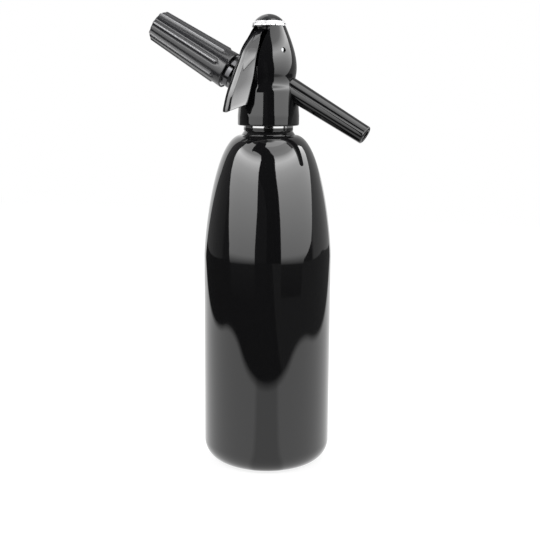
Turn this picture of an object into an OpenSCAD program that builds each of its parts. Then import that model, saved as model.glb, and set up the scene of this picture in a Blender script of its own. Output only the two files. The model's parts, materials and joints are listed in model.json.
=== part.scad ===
// Soda siphon: a pressure bottle with a screwed-on head, a squeeze lever, a spout
// and a screw-on holder for a small gas cartridge.
// Millimetres. The bottle stands on z = 0 with its axis on z, and the spout points to +x.

/* [Bottle] */
// Outer diameter of the bottle
bottle_d = 95; // [80:1:110]
// Height of the bottle up to the foot of its neck
bottle_h = 248; // [200:1:300]
// Thickness of the bottle's wall
bottle_wall = 1.6; // [1.2:0.1:3]
// Radius of the rounded edge at the bottle's foot
foot_r = 13; // [8:0.5:18]
// Height of the hollow under the bottle
punt_h = 8; // [4:0.5:12]
// Height at which the wall starts to lean inward
shoulder_z = 158; // [120:1:175]
// Outer diameter of the bottle's neck over its thread
neck_d = 33.2; // [30:0.2:34]
// Bore of the bottle's neck
neck_bore_d = 26; // [22:0.5:27]
// Height of the bottle's neck
neck_h = 16; // [12:0.5:20]
// Largest diameter of the ring round the foot of the neck
neck_ring_d = 39.2; // [37:0.2:42]
// Height of the ring round the foot of the neck
neck_ring_h = 3; // [2:0.2:3.2]

/* [Head] */
// Height of the head's body
head_h = 71.2; // [66:0.2:80]
// Gap between the neck's foot and the head's lower edge
head_gap = 7; // [6:0.2:9]
// Diameter of the collar at the head's lower end
collar_d = 45.2; // [43:0.2:50]
// Diameter of the waist above the collar
waist_d = 39; // [37:0.2:42]
// Diameter of the widest place above the waist
belly_d = 40.9; // [39:0.2:44]
// Diameter of the head's upper end
crown_d = 24.4; // [23.6:0.2:27]
// Width of the slot in which the lever turns
slot_w = 21.6; // [21:0.2:22.4]
// Lead of the thread between head and bottle
head_lead = 3; // [2:0.5:4]
// Turns that free the head from the bottle
head_turns = 4; // [1:1:4]

/* [Metal core] */
// Outer diameter of the threaded insert
insert_d = 36.4; // [36:0.2:37.4]
// Diameter of the valve body
valve_d = 24; // [23:0.2:25]
// Diameter of the valve body's stem guide
guide_d = 16; // [14:0.5:17]
// Diameter of the valve chamber
chamber_d = 12; // [11:0.5:13]
// Diameter of the plunger's stem
stem_d = 4; // [3:0.2:4.6]
// Lift of the valve when the lever is fully pressed
valve_travel = 0.4; // [0.3:0.01:1]

/* [Tubes] */
// Outer diameter of the riser tube
riser_d = 6.4; // [5.6:0.2:7]
// Wall of the riser tube
riser_wall = 0.9; // [0.6:0.1:1.2]
// Gap between the riser tube and the bottle's floor
riser_gap = 6; // [3:0.5:12]
// Outer diameter of the measuring tube
measure_d = 12.4; // [11:0.2:14]
// Length of the measuring tube
measure_l = 62; // [40:1:90]

/* [Lever] */
// Direction of the lever round the head, in degrees from the spout
lever_azimuth = 235; // [233:0.5:238]
// Diameter of the lever's pin
pin_d = 3; // [2.4:0.1:3.4]
// Wall of the lever's shell
lever_wall = 1.8; // [1.2:0.1:2.4]
// Width of the lever's flat spine
spine_w = 9.6; // [8:0.2:12]
// Width of the lever over its rear edges
lever_w = 24; // [22:0.5:24.5]
// Reach of the lever's tip from the head's axis
lever_reach = 38.9; // [37:0.2:41]
// Thickness of each ear of the lever's yoke
ear_t = 2; // [1.2:0.1:2.4]

/* [Spout] */
// Slope of the spout below level, in degrees
spout_slope = 30; // [24:1:34]
// Length of the spout from the head's axis to its tip
spout_l = 85.4; // [70:0.2:100]
// Diameter of the spout at the head
spout_root_d = 15.8; // [14:0.2:16.4]
// Diameter of the spout at its tip
spout_tip_d = 13.6; // [12:0.2:14]
// Bore of the spout
spout_bore_d = 8; // [6:0.2:8.4]

/* [Charger] */
// Slope of the charger holder above level, in degrees
charger_slope = 30; // [28:1:31]
// Distance along the charger's axis from the head's axis to the holder's open end
holder_start = 35.2; // [34:0.2:37]
// Diameter of the holder's plain band
holder_root_d = 27.8; // [27.4:0.2:30]
// Diameter of the holder at its closed end, without the ribs
holder_tip_d = 22.6; // [22.4:0.2:25]
// Number of ribs on the holder
rib_count = 8; // [6:1:10]
// Diameter of the round rod that each rib shows a part of
rib_d = 3.4; // [2.4:0.2:3.8]
// Height of each rib over the holder's skin
rib_h = 0.9; // [0.5:0.1:1.2]
// Turn of the ribs about the holder's axis, in degrees
rib_turn = 11.4; // [0:0.1:45]
// Diameter of the gas cartridge
cartridge_d = 18; // [17:0.1:18.4]
// Length of the gas cartridge
cartridge_l = 65; // [60:0.5:66]
// Diameter of the thread between boss and holder
boss_thread_d = 22.8; // [22:0.2:23]
// Length of the boss that the holder covers
boss_cover = 10.5; // [10:0.5:12]
// Lead of the thread between boss and holder
holder_lead = 2.5; // [1:0.5:2.5]

/* [Cap] */
// Outer diameter of the notched ring
ring_d = 24.8; // [24:0.2:26.4]
// Height of the notched ring
ring_h = 3.6; // [3.4:0.1:4.2]
// Notches round the ring
notch_count = 8; // [6:1:12]
// Turn of the notches about the head's axis, in degrees
notch_turn = 40.7; // [0:0.1:45]
// Width of each notch
notch_w = 0.9; // [0.6:0.1:1.4]
// Height of the dome above the ring
dome_h = 5; // [3:0.2:6]
// Diameter of the dome where it meets the ring
dome_d = 20.8; // [19:0.2:21]

/* [Hidden] */

$fn = 72;
// Overrun of every cut past the surface that it leaves
over = 1;
// Clearance between parts that are fixed to each other
seat_gap = 0.05;
// Clearance between a shaft and its bearing
run_gap = 0.05;
// Clearance between parts that screw or slide past each other
free_gap = 0.3;
// Points on each curved stretch of an outline
curve_steps = 14;

function lerp(a, b, t) = a + (b - a) * t;
// Cubic curve through a and d, drawn towards b and c
function curve_point(a, b, c, d, t) =
    pow(1 - t, 3) * a + 3 * pow(1 - t, 2) * t * b + 3 * (1 - t) * t * t * c + pow(t, 3) * d;
function curve(a, b, c, d) =
    [for (i = [0 : curve_steps]) curve_point(a, b, c, d, i / curve_steps)];
// Quarter or part of a circle in an outline
function arc(centre, r, from, to) =
    [for (i = [0 : curve_steps])
        centre + r * [cos(lerp(from, to, i / curve_steps)), sin(lerp(from, to, i / curve_steps))]];

// Bottle
bottle_r = bottle_d / 2;
neck_r = neck_d / 2;
neck_bore_r = neck_bore_d / 2;
neck_foot_r = neck_ring_d / 2;
neck_top = bottle_h + neck_h;
thread_depth = 0.7;
shoulder_rise = bottle_h - shoulder_z;
shoulder_start_share = 0.15;
shoulder_pull_share = 0.842;
punt_share = 0.9;
ridge_shares = [0, 0.3, 0.6, 0.9];
edge = 0.4;
foot_land_r = bottle_r - foot_r;
punt_r = foot_land_r * punt_share;
punt_ball_r = (punt_r * punt_r + punt_h * punt_h) / (2 * punt_h);
punt_ball_z = punt_h - punt_ball_r;
punt_angle = asin(punt_r / punt_ball_r);

// The bottle's outer outline from the foot's edge to the foot of the neck
function bottle_side(skin) = concat(
    arc([bottle_r - foot_r, foot_r], foot_r - skin, -90, 0),
    curve([bottle_r - skin, shoulder_z],
          [bottle_r - skin, shoulder_z + shoulder_rise * shoulder_start_share],
          [bottle_r * shoulder_pull_share - skin, bottle_h - skin],
          [neck_foot_r, bottle_h - skin])
);

// Thread ridges between two heights, as saw teeth on an outline
function ridges(r, depth, low, high, lead) =
    let (n = floor((high - low) / lead))
    [for (i = [0 : n - 1])
        for (k = [0 : 3])
            [k == 1 || k == 2 ? r : r - depth, low + (i + ridge_shares[k]) * lead]];

module bottle() {
    thread_high = neck_top - head_lead / 2;
    thread_low = max(bottle_h + neck_ring_h + seat_gap, thread_high - head_lead * head_turns);
    inner_neck = bottle_h - bottle_wall * 2;
    color("#16171a")
    difference() {
        rotate_extrude()
        polygon(concat(
            [[0, 0]],
            bottle_side(0),
            [[neck_r - thread_depth, bottle_h]],
            ridges(neck_r, thread_depth, thread_low, thread_high, head_lead),
            [[neck_r - thread_depth, neck_top], [0, neck_top]]
        ));
        rotate_extrude()
        polygon(concat(
            arc([0, punt_ball_z], punt_ball_r + bottle_wall, 90, 90 - punt_angle),
            [for (p = bottle_side(bottle_wall)) if (p[1] < inner_neck) p],
            [[neck_bore_r, inner_neck], [neck_bore_r, neck_top + over], [0, neck_top + over]]
        ));
        punt();
    }
}

// Shallow hollow under the bottle, a slice of a large ball
module punt() {
    intersection() {
        translate([0, 0, punt_ball_z]) sphere(r = punt_ball_r);
        translate([0, 0, -over]) cylinder(r = punt_r + over, h = punt_h + 2 * over);
    }
}

module neck_ring() {
    top_r = insert_r - edge;
    color("#1b1c1e")
    rotate_extrude()
    polygon([
        [neck_r + seat_gap, bottle_h],
        [neck_foot_r, bottle_h],
        [neck_foot_r, bottle_h + edge],
        [top_r, bottle_h + neck_ring_h],
        [neck_r + seat_gap, bottle_h + neck_ring_h]
    ]);
}

// Heights inside the head, from the bottle's neck up, as shares of the room above the neck
gasket_share = 0.0322;
flange_share = 0.0643;
ceiling_share = 0.0289;
chamber_floor_share = 0.0643;
chamber_share = 0.1608;
seat_share = 0.0402;
flow_share = 0.1045;
shoulder_share = 0.0482;
seal_room_share = 0.0322;
gland_share = 0.0482;
gland_rim_share = 0.0161;
foot_share = 0.0563;
plunger_seal_share = 0.0241;
plunger_head_share = 0.0241;
stem_show_share = 0.0177;
collar_z = bottle_h + head_gap;
crown_z = collar_z + head_h;
head_room = crown_z - neck_top;
gasket_t = head_room * gasket_share;
flange_t = head_room * flange_share;
gasket_z = neck_top;
flange_z = gasket_z + gasket_t;
ceiling_z = flange_z + flange_t;
insert_top = ceiling_z + head_room * ceiling_share;
insert_r = insert_d / 2;
valve_r = valve_d / 2;
guide_r = guide_d / 2;
chamber_r = chamber_d / 2;
stem_r = stem_d / 2;
chamber_low = ceiling_z + head_room * chamber_floor_share;
seat_z = chamber_low + head_room * chamber_share;
seat_t = head_room * seat_share;
seal_room = head_room * seal_room_share;
flow_low = seat_z + seat_t;
flow_top = flow_low + head_room * flow_share;
valve_shoulder = flow_top - head_room * shoulder_share;
gland_low = flow_top + seal_room;
guide_top = gland_low + head_room * gland_share;
gland_top = guide_top + head_room * gland_rim_share;
plunger_low = seat_z - head_room * foot_share;
plunger_seal_t = head_room * plunger_seal_share;
plunger_head_t = head_room * plunger_head_share;
plunger_top = gland_top + valve_travel + head_room * stem_show_share + plunger_head_t;
plunger_head_r = 6.5;
plunger_foot_gap = 1;
plunger_foot_r = chamber_r - plunger_foot_gap;

// Tubes
riser_r = riser_d / 2;
riser_low = punt_h + bottle_wall + riser_gap;
riser_grip = 2;
riser_top = flange_z + flange_t + riser_grip;
measure_r = measure_d / 2;
tube_collar_t = 5;
tube_collar_z = neck_top - tube_collar_t;

module riser_tube() {
    color("#d8dadb")
    difference() {
        translate([0, 0, riser_low]) cylinder(r = riser_r, h = riser_top - riser_low);
        translate([0, 0, riser_low - over])
        cylinder(r = riser_r - riser_wall, h = riser_top - riser_low + 2 * over);
        // notch that keeps the lower end open on the floor
        translate([-riser_r - over, -riser_wall, riser_low - over])
        cube([riser_d + 2 * over, riser_wall * 2, riser_d + over]);
    }
}

module measuring_tube() {
    wall = riser_wall;
    color("#eceded")
    translate([0, 0, tube_collar_z - measure_l])
    difference() {
        cylinder(r = measure_r, h = measure_l);
        translate([0, 0, -over]) cylinder(r = measure_r - wall, h = measure_l + 2 * over);
    }
}

// Plug that carries both tubes in the neck, with gas holes round it
module tube_collar() {
    hole_r = 1.2;
    hole_pitch_r = (neck_bore_r + measure_r) / 2;
    color("#c9c7c0")
    translate([0, 0, tube_collar_z])
    difference() {
        cylinder(r = neck_bore_r - free_gap, h = tube_collar_t);
        translate([0, 0, -over]) cylinder(r = riser_r + seat_gap, h = tube_collar_t + 2 * over);
        for (a = [45 : 90 : 315])
            rotate([0, 0, a]) translate([hole_pitch_r, 0, -over])
            cylinder(r = hole_r, h = tube_collar_t + 2 * over);
    }
}

// Head: outline as cubic curves between the collar, waist, belly and crown
collar_r = collar_d / 2;
waist_r = waist_d / 2;
belly_r = belly_d / 2;
crown_r = crown_d / 2;
collar_edge = 0.8;
collar_side_share = 0.10;
shelf_share = 0.345;
shelf_r_share = 0.942;
waist_share = 0.45;
belly_share = 0.583;
shelf_pull_share = 0.4;
waist_low_pull_share = 0.45;
waist_high_pull_share = 0.35;
belly_low_pull_share = 0.5;
belly_high_pull_share = 0.32;
crown_r_share = 0.49;
crown_pull_share = 0.657;

function head_outline() =
    let (
        shelf_z = collar_z + head_h * shelf_share,
        shelf_r = collar_r * shelf_r_share,
        waist_z = collar_z + head_h * waist_share,
        belly_z = collar_z + head_h * belly_share,
        collar_side_z = collar_z + head_h * collar_side_share,
        lean = (collar_r - shelf_r) / (shelf_z - collar_side_z),
        rise = waist_z - shelf_z,
        swell = belly_z - waist_z,
        crown_rise = crown_z - belly_z
    )
    concat(
        [[collar_r - collar_edge, collar_z], [collar_r, collar_z + collar_edge]],
        [[collar_r, collar_side_z]],
        curve([shelf_r, shelf_z],
              [shelf_r - lean * rise * shelf_pull_share, shelf_z + rise * shelf_pull_share],
              [waist_r, waist_z - rise * waist_low_pull_share], [waist_r, waist_z]),
        curve([waist_r, waist_z], [waist_r, waist_z + swell * waist_high_pull_share],
              [belly_r, belly_z - swell * belly_low_pull_share], [belly_r, belly_z]),
        curve([belly_r, belly_z], [belly_r, belly_z + crown_rise * belly_high_pull_share],
              [lerp(belly_r, crown_r, crown_r_share), belly_z + crown_rise * crown_pull_share],
              [crown_r, crown_z])
    );

// Placing along the spout, the charger and the lever. The holes for the spout's connector
// and the boss's tail leave these walls under the valve body's shoulder.
connector_r = 4.4;
connector_roof_t = 0.09;
boss_tail_r = 5;
tail_roof_t = 0.64;
connector_rise = (connector_r + seat_gap) / cos(spout_slope) + connector_roof_t;
tail_rise = (boss_tail_r + seat_gap) / cos(charger_slope) + tail_roof_t;
spout_z = valve_shoulder + valve_r * tan(spout_slope) - connector_rise;
charger_z = valve_shoulder - valve_r * tan(charger_slope) - tail_rise;
module on_spout(t) {
    translate([0, 0, spout_z]) rotate([0, 90 + spout_slope, 0]) translate([0, 0, t]) children();
}
module on_charger(t) {
    translate([0, 0, charger_z]) rotate([0, charger_slope - 90, 0]) translate([0, 0, t]) children();
}
module on_lever() {
    rotate([0, 0, lever_azimuth]) children();
}

// Spout and boss, along their own axes from the head's axis
spout_root_r = spout_root_d / 2;
spout_tip_r = spout_tip_d / 2;
spout_bore_r = spout_bore_d / 2;
core_gap = 0.15;
valve_fit_r = valve_r + core_gap;
root_gap = 0.2;
spout_root = (valve_fit_r + root_gap + spout_root_r * sin(spout_slope)) / cos(spout_slope);
connector_share = 0.79;
connector_grip = 15;
connector_start = valve_r * connector_share;
connector_end = spout_root + connector_grip;
boss_neck_r = 8;
boss_tail_share = 0.9;
boss_neck_in = 0.8;
boss_show = 5.2;
boss_tail = valve_r * boss_tail_share;
boss_neck = (valve_fit_r - boss_neck_in + boss_neck_r * sin(charger_slope)) / cos(charger_slope);
boss_flange = holder_start - boss_show;
boss_end = holder_start + boss_cover;
boss_thread_r = boss_thread_d / 2;

// Lever
pin_r = pin_d / 2;
pin_down_share = 0.2765;
pin_share = 0.83;
pin_cover_step = 0.4;
gland_show_share = 0.0241;
slot_back_gap = 1;
slot_front_plate = 4.5;
roof_share = 0.0675;
visor_t = 0.7;
pin_z = crown_z - head_room * pin_down_share;
pin_half = belly_r * pin_share;
pin_cover_r = pin_r + pin_cover_step;
slot_floor = gland_top - head_room * gland_show_share;
slot_back = guide_r + slot_back_gap;
slot_roof = crown_z - head_room * roof_share;

// Socket for the spout's root, cut from every piece of the head that it meets
module spout_socket() {
    on_spout(spout_root) cylinder(r = spout_root_r + seat_gap, h = belly_r);
}

module head_body() {
    spigot_r = cap_thread_r;
    color("#121316")
    difference() {
        rotate_extrude()
        polygon(concat(
            [[0, collar_z]],
            head_outline(),
            [[spigot_r, crown_z], [spigot_r, crown_z + spigot_h], [0, crown_z + spigot_h]]
        ));
        translate([0, 0, collar_z - over])
        cylinder(r = insert_r + seat_gap, h = insert_top - collar_z + over);
        translate([0, 0, insert_top - over])
        cylinder(r = valve_fit_r, h = valve_shoulder - insert_top + over);
        translate([0, 0, valve_shoulder - over])
        cylinder(r = guide_r + seat_gap, h = slot_floor - valve_shoulder + 2 * over);
        // pocket for the lever and its yoke
        on_lever() {
            translate([0, slot_w / 2, 0]) rotate([90, 0, 0])
            linear_extrude(slot_w)
            polygon([
                [-slot_back, slot_floor], [belly_d, slot_floor], [belly_d, crown_z - visor_t],
                [slot_front_plate, crown_z - visor_t], [slot_front_plate, slot_roof],
                [0, slot_roof], [-slot_back, pin_z]
            ]);
            translate([0, 0, pin_z]) rotate([90, 0, 0])
            cylinder(r = pin_r + seat_gap, h = belly_d + 2 * over, center = true);
            for (side = [-1, 1])
                translate([0, side * (pin_half + belly_r / 2), pin_z]) rotate([90, 0, 0])
                cylinder(r = pin_cover_r, h = belly_r, center = true);
        }
        spout_socket();
        on_spout(0) cylinder(r = connector_r + seat_gap, h = spout_root + over);
        on_charger(boss_neck) cylinder(r = boss_neck_r + seat_gap, h = belly_r);
        on_charger(0) cylinder(r = boss_tail_r + seat_gap, h = boss_neck + over);
    }
}

module thread_insert() {
    lip_z = bottle_h + neck_ring_h + free_gap;
    color("#c8c9cb")
    difference() {
        translate([0, 0, lip_z]) cylinder(r = insert_r, h = insert_top - lip_z);
        translate([0, 0, lip_z - over])
        cylinder(r = neck_r + free_gap, h = ceiling_z - lip_z + over);
        translate([0, 0, lip_z]) cylinder(r = valve_r + seat_gap, h = insert_top - lip_z + over);
        spout_socket();
    }
}

module head_gasket() {
    color("#2a2a2a")
    translate([0, 0, gasket_z])
    difference() {
        cylinder(r = neck_r, h = gasket_t);
        translate([0, 0, -over]) cylinder(r = neck_bore_r, h = gasket_t + 2 * over);
    }
}

riser_seal_r = 1;
module riser_seal() {
    color("#222222")
    translate([0, 0, flange_z + flange_t / 2])
    rotate_extrude()
    translate([riser_r + run_gap + riser_seal_r, 0]) circle(r = riser_seal_r, $fn = 24);
}

module valve_body() {
    gas_hole_r = 0.8;
    gas_hole_share = 0.8;
    seat_bore_share = 1.7;
    flow_bore_share = 2.2;
    outlet_share = 0.45;
    socket_r = riser_r + run_gap;
    groove_r = riser_r + run_gap + 2 * riser_seal_r;
    color("#b9bbbd")
    difference() {
        rotate_extrude()
        polygon([
            [0, flange_z], [neck_r, flange_z], [neck_r, ceiling_z],
            [valve_r, ceiling_z], [valve_r, valve_shoulder],
            [guide_r, valve_shoulder], [guide_r, guide_top], [0, guide_top]
        ]);
        translate([0, 0, flange_z - over])
        cylinder(r = socket_r, h = riser_top - flange_z + over);
        translate([0, 0, flange_z + flange_t / 2 - riser_seal_r])
        cylinder(r = groove_r, h = 2 * riser_seal_r);
        cylinder(r = riser_r - riser_wall, h = chamber_low + over);
        translate([0, 0, chamber_low]) cylinder(r = chamber_r, h = seat_z - chamber_low);
        translate([0, 0, seat_z - over]) cylinder(r = stem_r * seat_bore_share, h = seat_t + 2 * over);
        translate([0, 0, flow_low]) cylinder(r = stem_r * flow_bore_share, h = flow_top - flow_low);
        translate([0, 0, flow_top]) cylinder(r = gland_r + seat_gap, h = guide_top - flow_top + over);
        on_spout(0) cylinder(r = spout_bore_r * outlet_share, h = valve_d);
        on_spout(connector_start) cylinder(r = connector_r + seat_gap, h = valve_d);
        spout_socket();
        on_charger(boss_tail) cylinder(r = boss_tail_r + seat_gap, h = valve_d);
        translate([-valve_r * gas_hole_share, 0, flange_z - over])
        cylinder(r = gas_hole_r, h = charger_z - flange_z + over + valve_r * tan(charger_slope), $fn = 24);
    }
}

gland_r = 6;
stem_seal_share = 0.425;
stem_seal_r = seal_room * stem_seal_share;
module gland_nut() {
    color("#caa55c")
    translate([0, 0, gland_low])
    difference() {
        union() {
            cylinder(r = gland_r, h = gland_top - gland_low);
            translate([0, 0, guide_top - gland_low + seat_gap])
            cylinder(r = guide_r, h = gland_top - guide_top - seat_gap, $fn = 6);
        }
        translate([0, 0, -over]) cylinder(r = stem_r + run_gap, h = gland_top - gland_low + 2 * over);
    }
}

module stem_seal() {
    color("#222222")
    translate([0, 0, gland_low - stem_seal_r])
    rotate_extrude()
    translate([stem_r + run_gap + stem_seal_r, 0]) circle(r = stem_seal_r, $fn = 24);
}

// Compression spring under the plunger, one unbroken tube
spring_r = 4;
spring_wire_r = 0.4;
spring_curls = 4;
spring_slack = 0.1;
spring_ring_sides = 8;
spring_low = chamber_low + spring_wire_r;
spring_high = plunger_low - spring_wire_r - spring_slack;
spring_rings = spring_ring_sides * spring_curls;
spring_sides = 6;
spring_climb = (spring_high - spring_low) / spring_rings;
function spring_centre(i) = let (a = 360 * i / spring_ring_sides)
    [spring_r * cos(a), spring_r * sin(a), spring_low + spring_climb * i];
function spring_ring(i) = let (a = 360 * i / spring_ring_sides)
    [for (k = [0 : spring_sides - 1]) let (b = 360 * k / spring_sides)
        spring_centre(i)
        + spring_wire_r * [cos(b) * cos(a), cos(b) * sin(a), sin(b)]];
spring_gap = spring_climb * spring_ring_sides - 2 * spring_wire_r;
echo(spring_gap = spring_gap);

module valve_spring() {
    points = [for (i = [0 : spring_rings]) each spring_ring(i)];
    last = spring_rings * spring_sides;
    sides = [
        for (i = [0 : spring_rings - 1], k = [0 : spring_sides - 1])
            let (
                a = i * spring_sides + k,
                b = i * spring_sides + (k + 1) % spring_sides,
                c = b + spring_sides,
                d = a + spring_sides
            )
            each [[a, d, b], [b, d, c]]
    ];
    low_end = [for (k = [1 : spring_sides - 2]) [0, k, k + 1]];
    high_end = [for (k = [1 : spring_sides - 2]) [last, last + k + 1, last + k]];
    color("#a9acb0")
    polyhedron(points = points, faces = concat(sides, low_end, high_end));
}

module plunger() {
    color("#caa55c")
    rotate_extrude()
    polygon([
        [0, plunger_low], [plunger_foot_r, plunger_low],
        [plunger_foot_r, seat_z - plunger_seal_t],
        [stem_r, seat_z - plunger_seal_t], [stem_r, plunger_top - plunger_head_t],
        [plunger_head_r, plunger_top - plunger_head_t], [plunger_head_r, plunger_top],
        [0, plunger_top]
    ]);
}

module plunger_seal() {
    color("#222222")
    translate([0, 0, seat_z - plunger_seal_t])
    difference() {
        cylinder(r = plunger_foot_r, h = plunger_seal_t);
        translate([0, 0, -over]) cylinder(r = stem_r + seat_gap, h = plunger_seal_t + 2 * over);
    }
}

// Lever shell: a channel swept along the spine, open towards the head.
// Each station gives the spine's distance from the axis and height, the channel's depth
// and tilt, and the half widths at the spine and at the rear edges.
reach_shares = [1, 0.985, 0.92, 0.815, 0.675, 0.56, 0.385, 0.225];
height_shares = [0.005, 0.06, 0.215, 0.39, 0.61, 0.775, 0.918, 0.985];
depth_shares = [0.346, 0.342, 0.336, 0.318, 0.233, 0.197, 0.075, 0.053];
tilts = [23, 22, 20, 20, 22, 20, 8, 0];
spine_shares = [0.94, 1, 1, 1, 0.95, 0.9, 0.75, 0.6];
width_shares = [0.93, 0.965, 1, 1, 0.965, 0.83, 0.66, 0.5];
lever_drop_share = 0.7122;
lever_top_gap = 0.5;
lever_low = pin_z - head_room * lever_drop_share;
lever_top = crown_z - visor_t - lever_top_gap;
lever_rise = lever_top - lever_low;
station_count = len(tilts);
sweep_steps = 28;
spine_crown = 0.7;
bend_max = 2.2;
bend_share = 0.8;
bend_start_share = 0.7;
corner_share = 0.55;
rim_share = 1.15;
crown_edge_share = 0.1;

// Smooth value at place u of a table that is read by station
function slope_at(v, i) =
    i == 0 ? v[1] - v[0] : i == len(v) - 1 ? v[i] - v[i - 1] : (v[i + 1] - v[i - 1]) / 2;
function smooth_at(v, u) =
    let (i = min(floor(u), len(v) - 2), t = u - i, a = v[i], b = v[i + 1],
         p = slope_at(v, i), q = slope_at(v, i + 1))
    a * (2 * pow(t, 3) - 3 * t * t + 1) + b * (3 * t * t - 2 * pow(t, 3))
    + p * (pow(t, 3) - 2 * t * t + t) + q * (pow(t, 3) - t * t);

// One side of the channel from the middle of the spine to the rear edge, as
// [distance back from the spine, distance from the middle plane]
function half_section(depth, spine, wide, skin) =
    let (
        bend = min(bend_max, depth * bend_share) * bend_start_share,
        run = [depth, wide - spine],
        side = run / norm(run),
        corner = [skin, spine - skin * corner_share],
        start = [corner[0] - spine_crown * crown_edge_share, corner[1] - bend],
        finish = corner + side * bend
    )
    concat(
        [for (k = [0 : 3]) let (y = start[1] * k / 3)
            [skin - spine_crown * (1 - pow(y / spine, 2)), y]],
        [for (k = [1 : 3]) let (t = k / 3)
            lerp(lerp(start, corner, t), lerp(corner, finish, t), t)],
        [for (k = [1 : 4])
            corner + side * lerp(bend, norm(run) - skin * rim_share, k / 4)]
    );

function section_at(u, skin) =
    let (
        s = lever_reach * smooth_at(reach_shares, u),
        z = lever_low + lever_rise * smooth_at(height_shares, u),
        depth = lever_reach * smooth_at(depth_shares, u),
        tilt = smooth_at(tilts, u),
        spine = spine_w / 2 * smooth_at(spine_shares, u),
        wide = lever_w / 2 * smooth_at(width_shares, u),
        half = half_section(depth, spine, wide, skin),
        n = len(half),
        both = concat([for (k = [n - 1 : -1 : 1]) [half[k][0], -half[k][1]]], half)
    )
    [for (p = both) [s - p[0] * cos(tilt), p[1], z + p[0] * sin(tilt)]];

module lever_shell() {
    last_u = station_count - 1;
    outer = [for (i = [0 : sweep_steps]) section_at(last_u * i / sweep_steps, 0)];
    inner = [for (i = [0 : sweep_steps]) section_at(last_u * i / sweep_steps, lever_wall)];
    n = len(outer[0]);
    ring = 2 * n;
    points = [for (i = [0 : sweep_steps]) each concat(outer[i], [for (k = [n - 1 : -1 : 0]) inner[i][k]])];
    top = sweep_steps * ring;
    skin_faces = [
        for (i = [0 : sweep_steps - 1], k = [0 : ring - 1])
            let (a = i * ring + k, b = i * ring + (k + 1) % ring, c = b + ring, d = a + ring)
            each [[a, d, b], [b, d, c]]
    ];
    low_cap = [for (k = [0 : n - 2]) each
        [[k, k + 1, ring - 1 - k], [k + 1, ring - 2 - k, ring - 1 - k]]];
    top_cap = [for (f = low_cap) [f[0] + top, f[2] + top, f[1] + top]];
    color("#1a1b1e")
    on_lever()
    polyhedron(points = points, faces = concat(skin_faces, low_cap, top_cap));
}

// Yoke: a narrow channel inside the shell whose two ears turn on the pin and carry the
// bar that pushes the plunger. Its plate lies along the spine at one place.
ear_out = 6.2;
bar_r = 1.5;
bar_out = 5;
bar_gap = 0.1;
bar_z = plunger_top + bar_gap + bar_r;
yoke_at = 4.6;
yoke_depth = 5;
yoke_half = 3.8;
yoke_plate_t = 1.4;
yoke_s = lever_reach * smooth_at(reach_shares, yoke_at);
yoke_z = lever_low + lever_rise * smooth_at(height_shares, yoke_at);
spine_step = 0.1;
yoke_run = smooth_at(reach_shares, yoke_at - spine_step) - smooth_at(reach_shares, yoke_at + spine_step);
yoke_rise = smooth_at(height_shares, yoke_at + spine_step) - smooth_at(height_shares, yoke_at - spine_step);
yoke_lean = atan2(lever_reach * yoke_run, lever_rise * yoke_rise);

// Point behind the spine at the yoke's place: square back into the channel and up along it
function behind_spine(back, up) = [
    yoke_s - back * cos(yoke_lean) - up * sin(yoke_lean),
    yoke_z - back * sin(yoke_lean) + up * cos(yoke_lean)
];

module lever_yoke() {
    hub_wall = 2.4;
    hub_r = pin_r + hub_wall;
    hub_corner = hub_r * cos(45);
    plate_back = yoke_depth + yoke_plate_t;
    color("#8d9094")
    on_lever()
    difference() {
        union() {
            for (side = [-1, 1])
                translate([0, side * (ear_out - ear_t / 2) + ear_t / 2, 0]) rotate([90, 0, 0])
                linear_extrude(ear_t) {
                    translate([0, pin_z]) circle(r = hub_r);
                    translate([bar_out, bar_z]) circle(r = bar_r);
                    polygon([
                        [0, pin_z + hub_r], behind_spine(yoke_depth, yoke_half),
                        behind_spine(yoke_depth, -yoke_half), [bar_out, bar_z - bar_r],
                        [bar_out - bar_r, bar_z], [-hub_corner, pin_z - hub_corner]
                    ]);
                }
            translate([0, ear_out, 0]) rotate([90, 0, 0])
            linear_extrude(2 * ear_out)
            polygon([
                behind_spine(yoke_depth, yoke_half), behind_spine(yoke_depth, -yoke_half),
                behind_spine(plate_back, -yoke_half), behind_spine(plate_back, yoke_half)
            ]);
            translate([bar_out, 0, bar_z]) rotate([90, 0, 0])
            cylinder(r = bar_r, h = 2 * ear_out - ear_t, center = true);
        }
        translate([0, 0, pin_z]) rotate([90, 0, 0])
        cylinder(r = pin_r + run_gap, h = 2 * ear_out + 2 * over, center = true);
    }
}

// Studs that join the yoke's plate to the inside of the shell's spine
module lever_rivets() {
    rivet_r = 1.2;
    rivet_share = 0.2;
    rivet_y = spine_w * rivet_share;
    spine_back = lever_wall + run_gap;
    from = behind_spine(yoke_depth, 0);
    color("#8d9094")
    on_lever()
    for (side = [-1, 1])
        translate([from[0], side * rivet_y, from[1]]) rotate([0, 90 - yoke_lean, 0])
        cylinder(r = rivet_r, h = yoke_depth - spine_back);
}

module lever_pin() {
    color("#b9bbbd")
    on_lever()
    translate([0, 0, pin_z]) rotate([90, 0, 0])
    cylinder(r = pin_r, h = 2 * pin_half, center = true);
}

// Spout
module spout() {
    length = spout_l - spout_root;
    lip = 1.2;
    straight = 4;
    counter_l = connector_end - spout_root + root_gap;
    color("#121316")
    on_spout(spout_root)
    difference() {
        rotate_extrude()
        polygon(concat(
            [[0, 0], [spout_root_r, 0], [spout_root_r, straight]],
            arc([spout_tip_r - lip, length - lip], lip, 0, 90),
            [[0, length]]
        ));
        translate([0, 0, -over]) cylinder(r = spout_bore_r, h = length + 2 * over);
        translate([0, 0, -over]) cylinder(r = connector_r + seat_gap, h = counter_l + over);
    }
}

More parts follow.
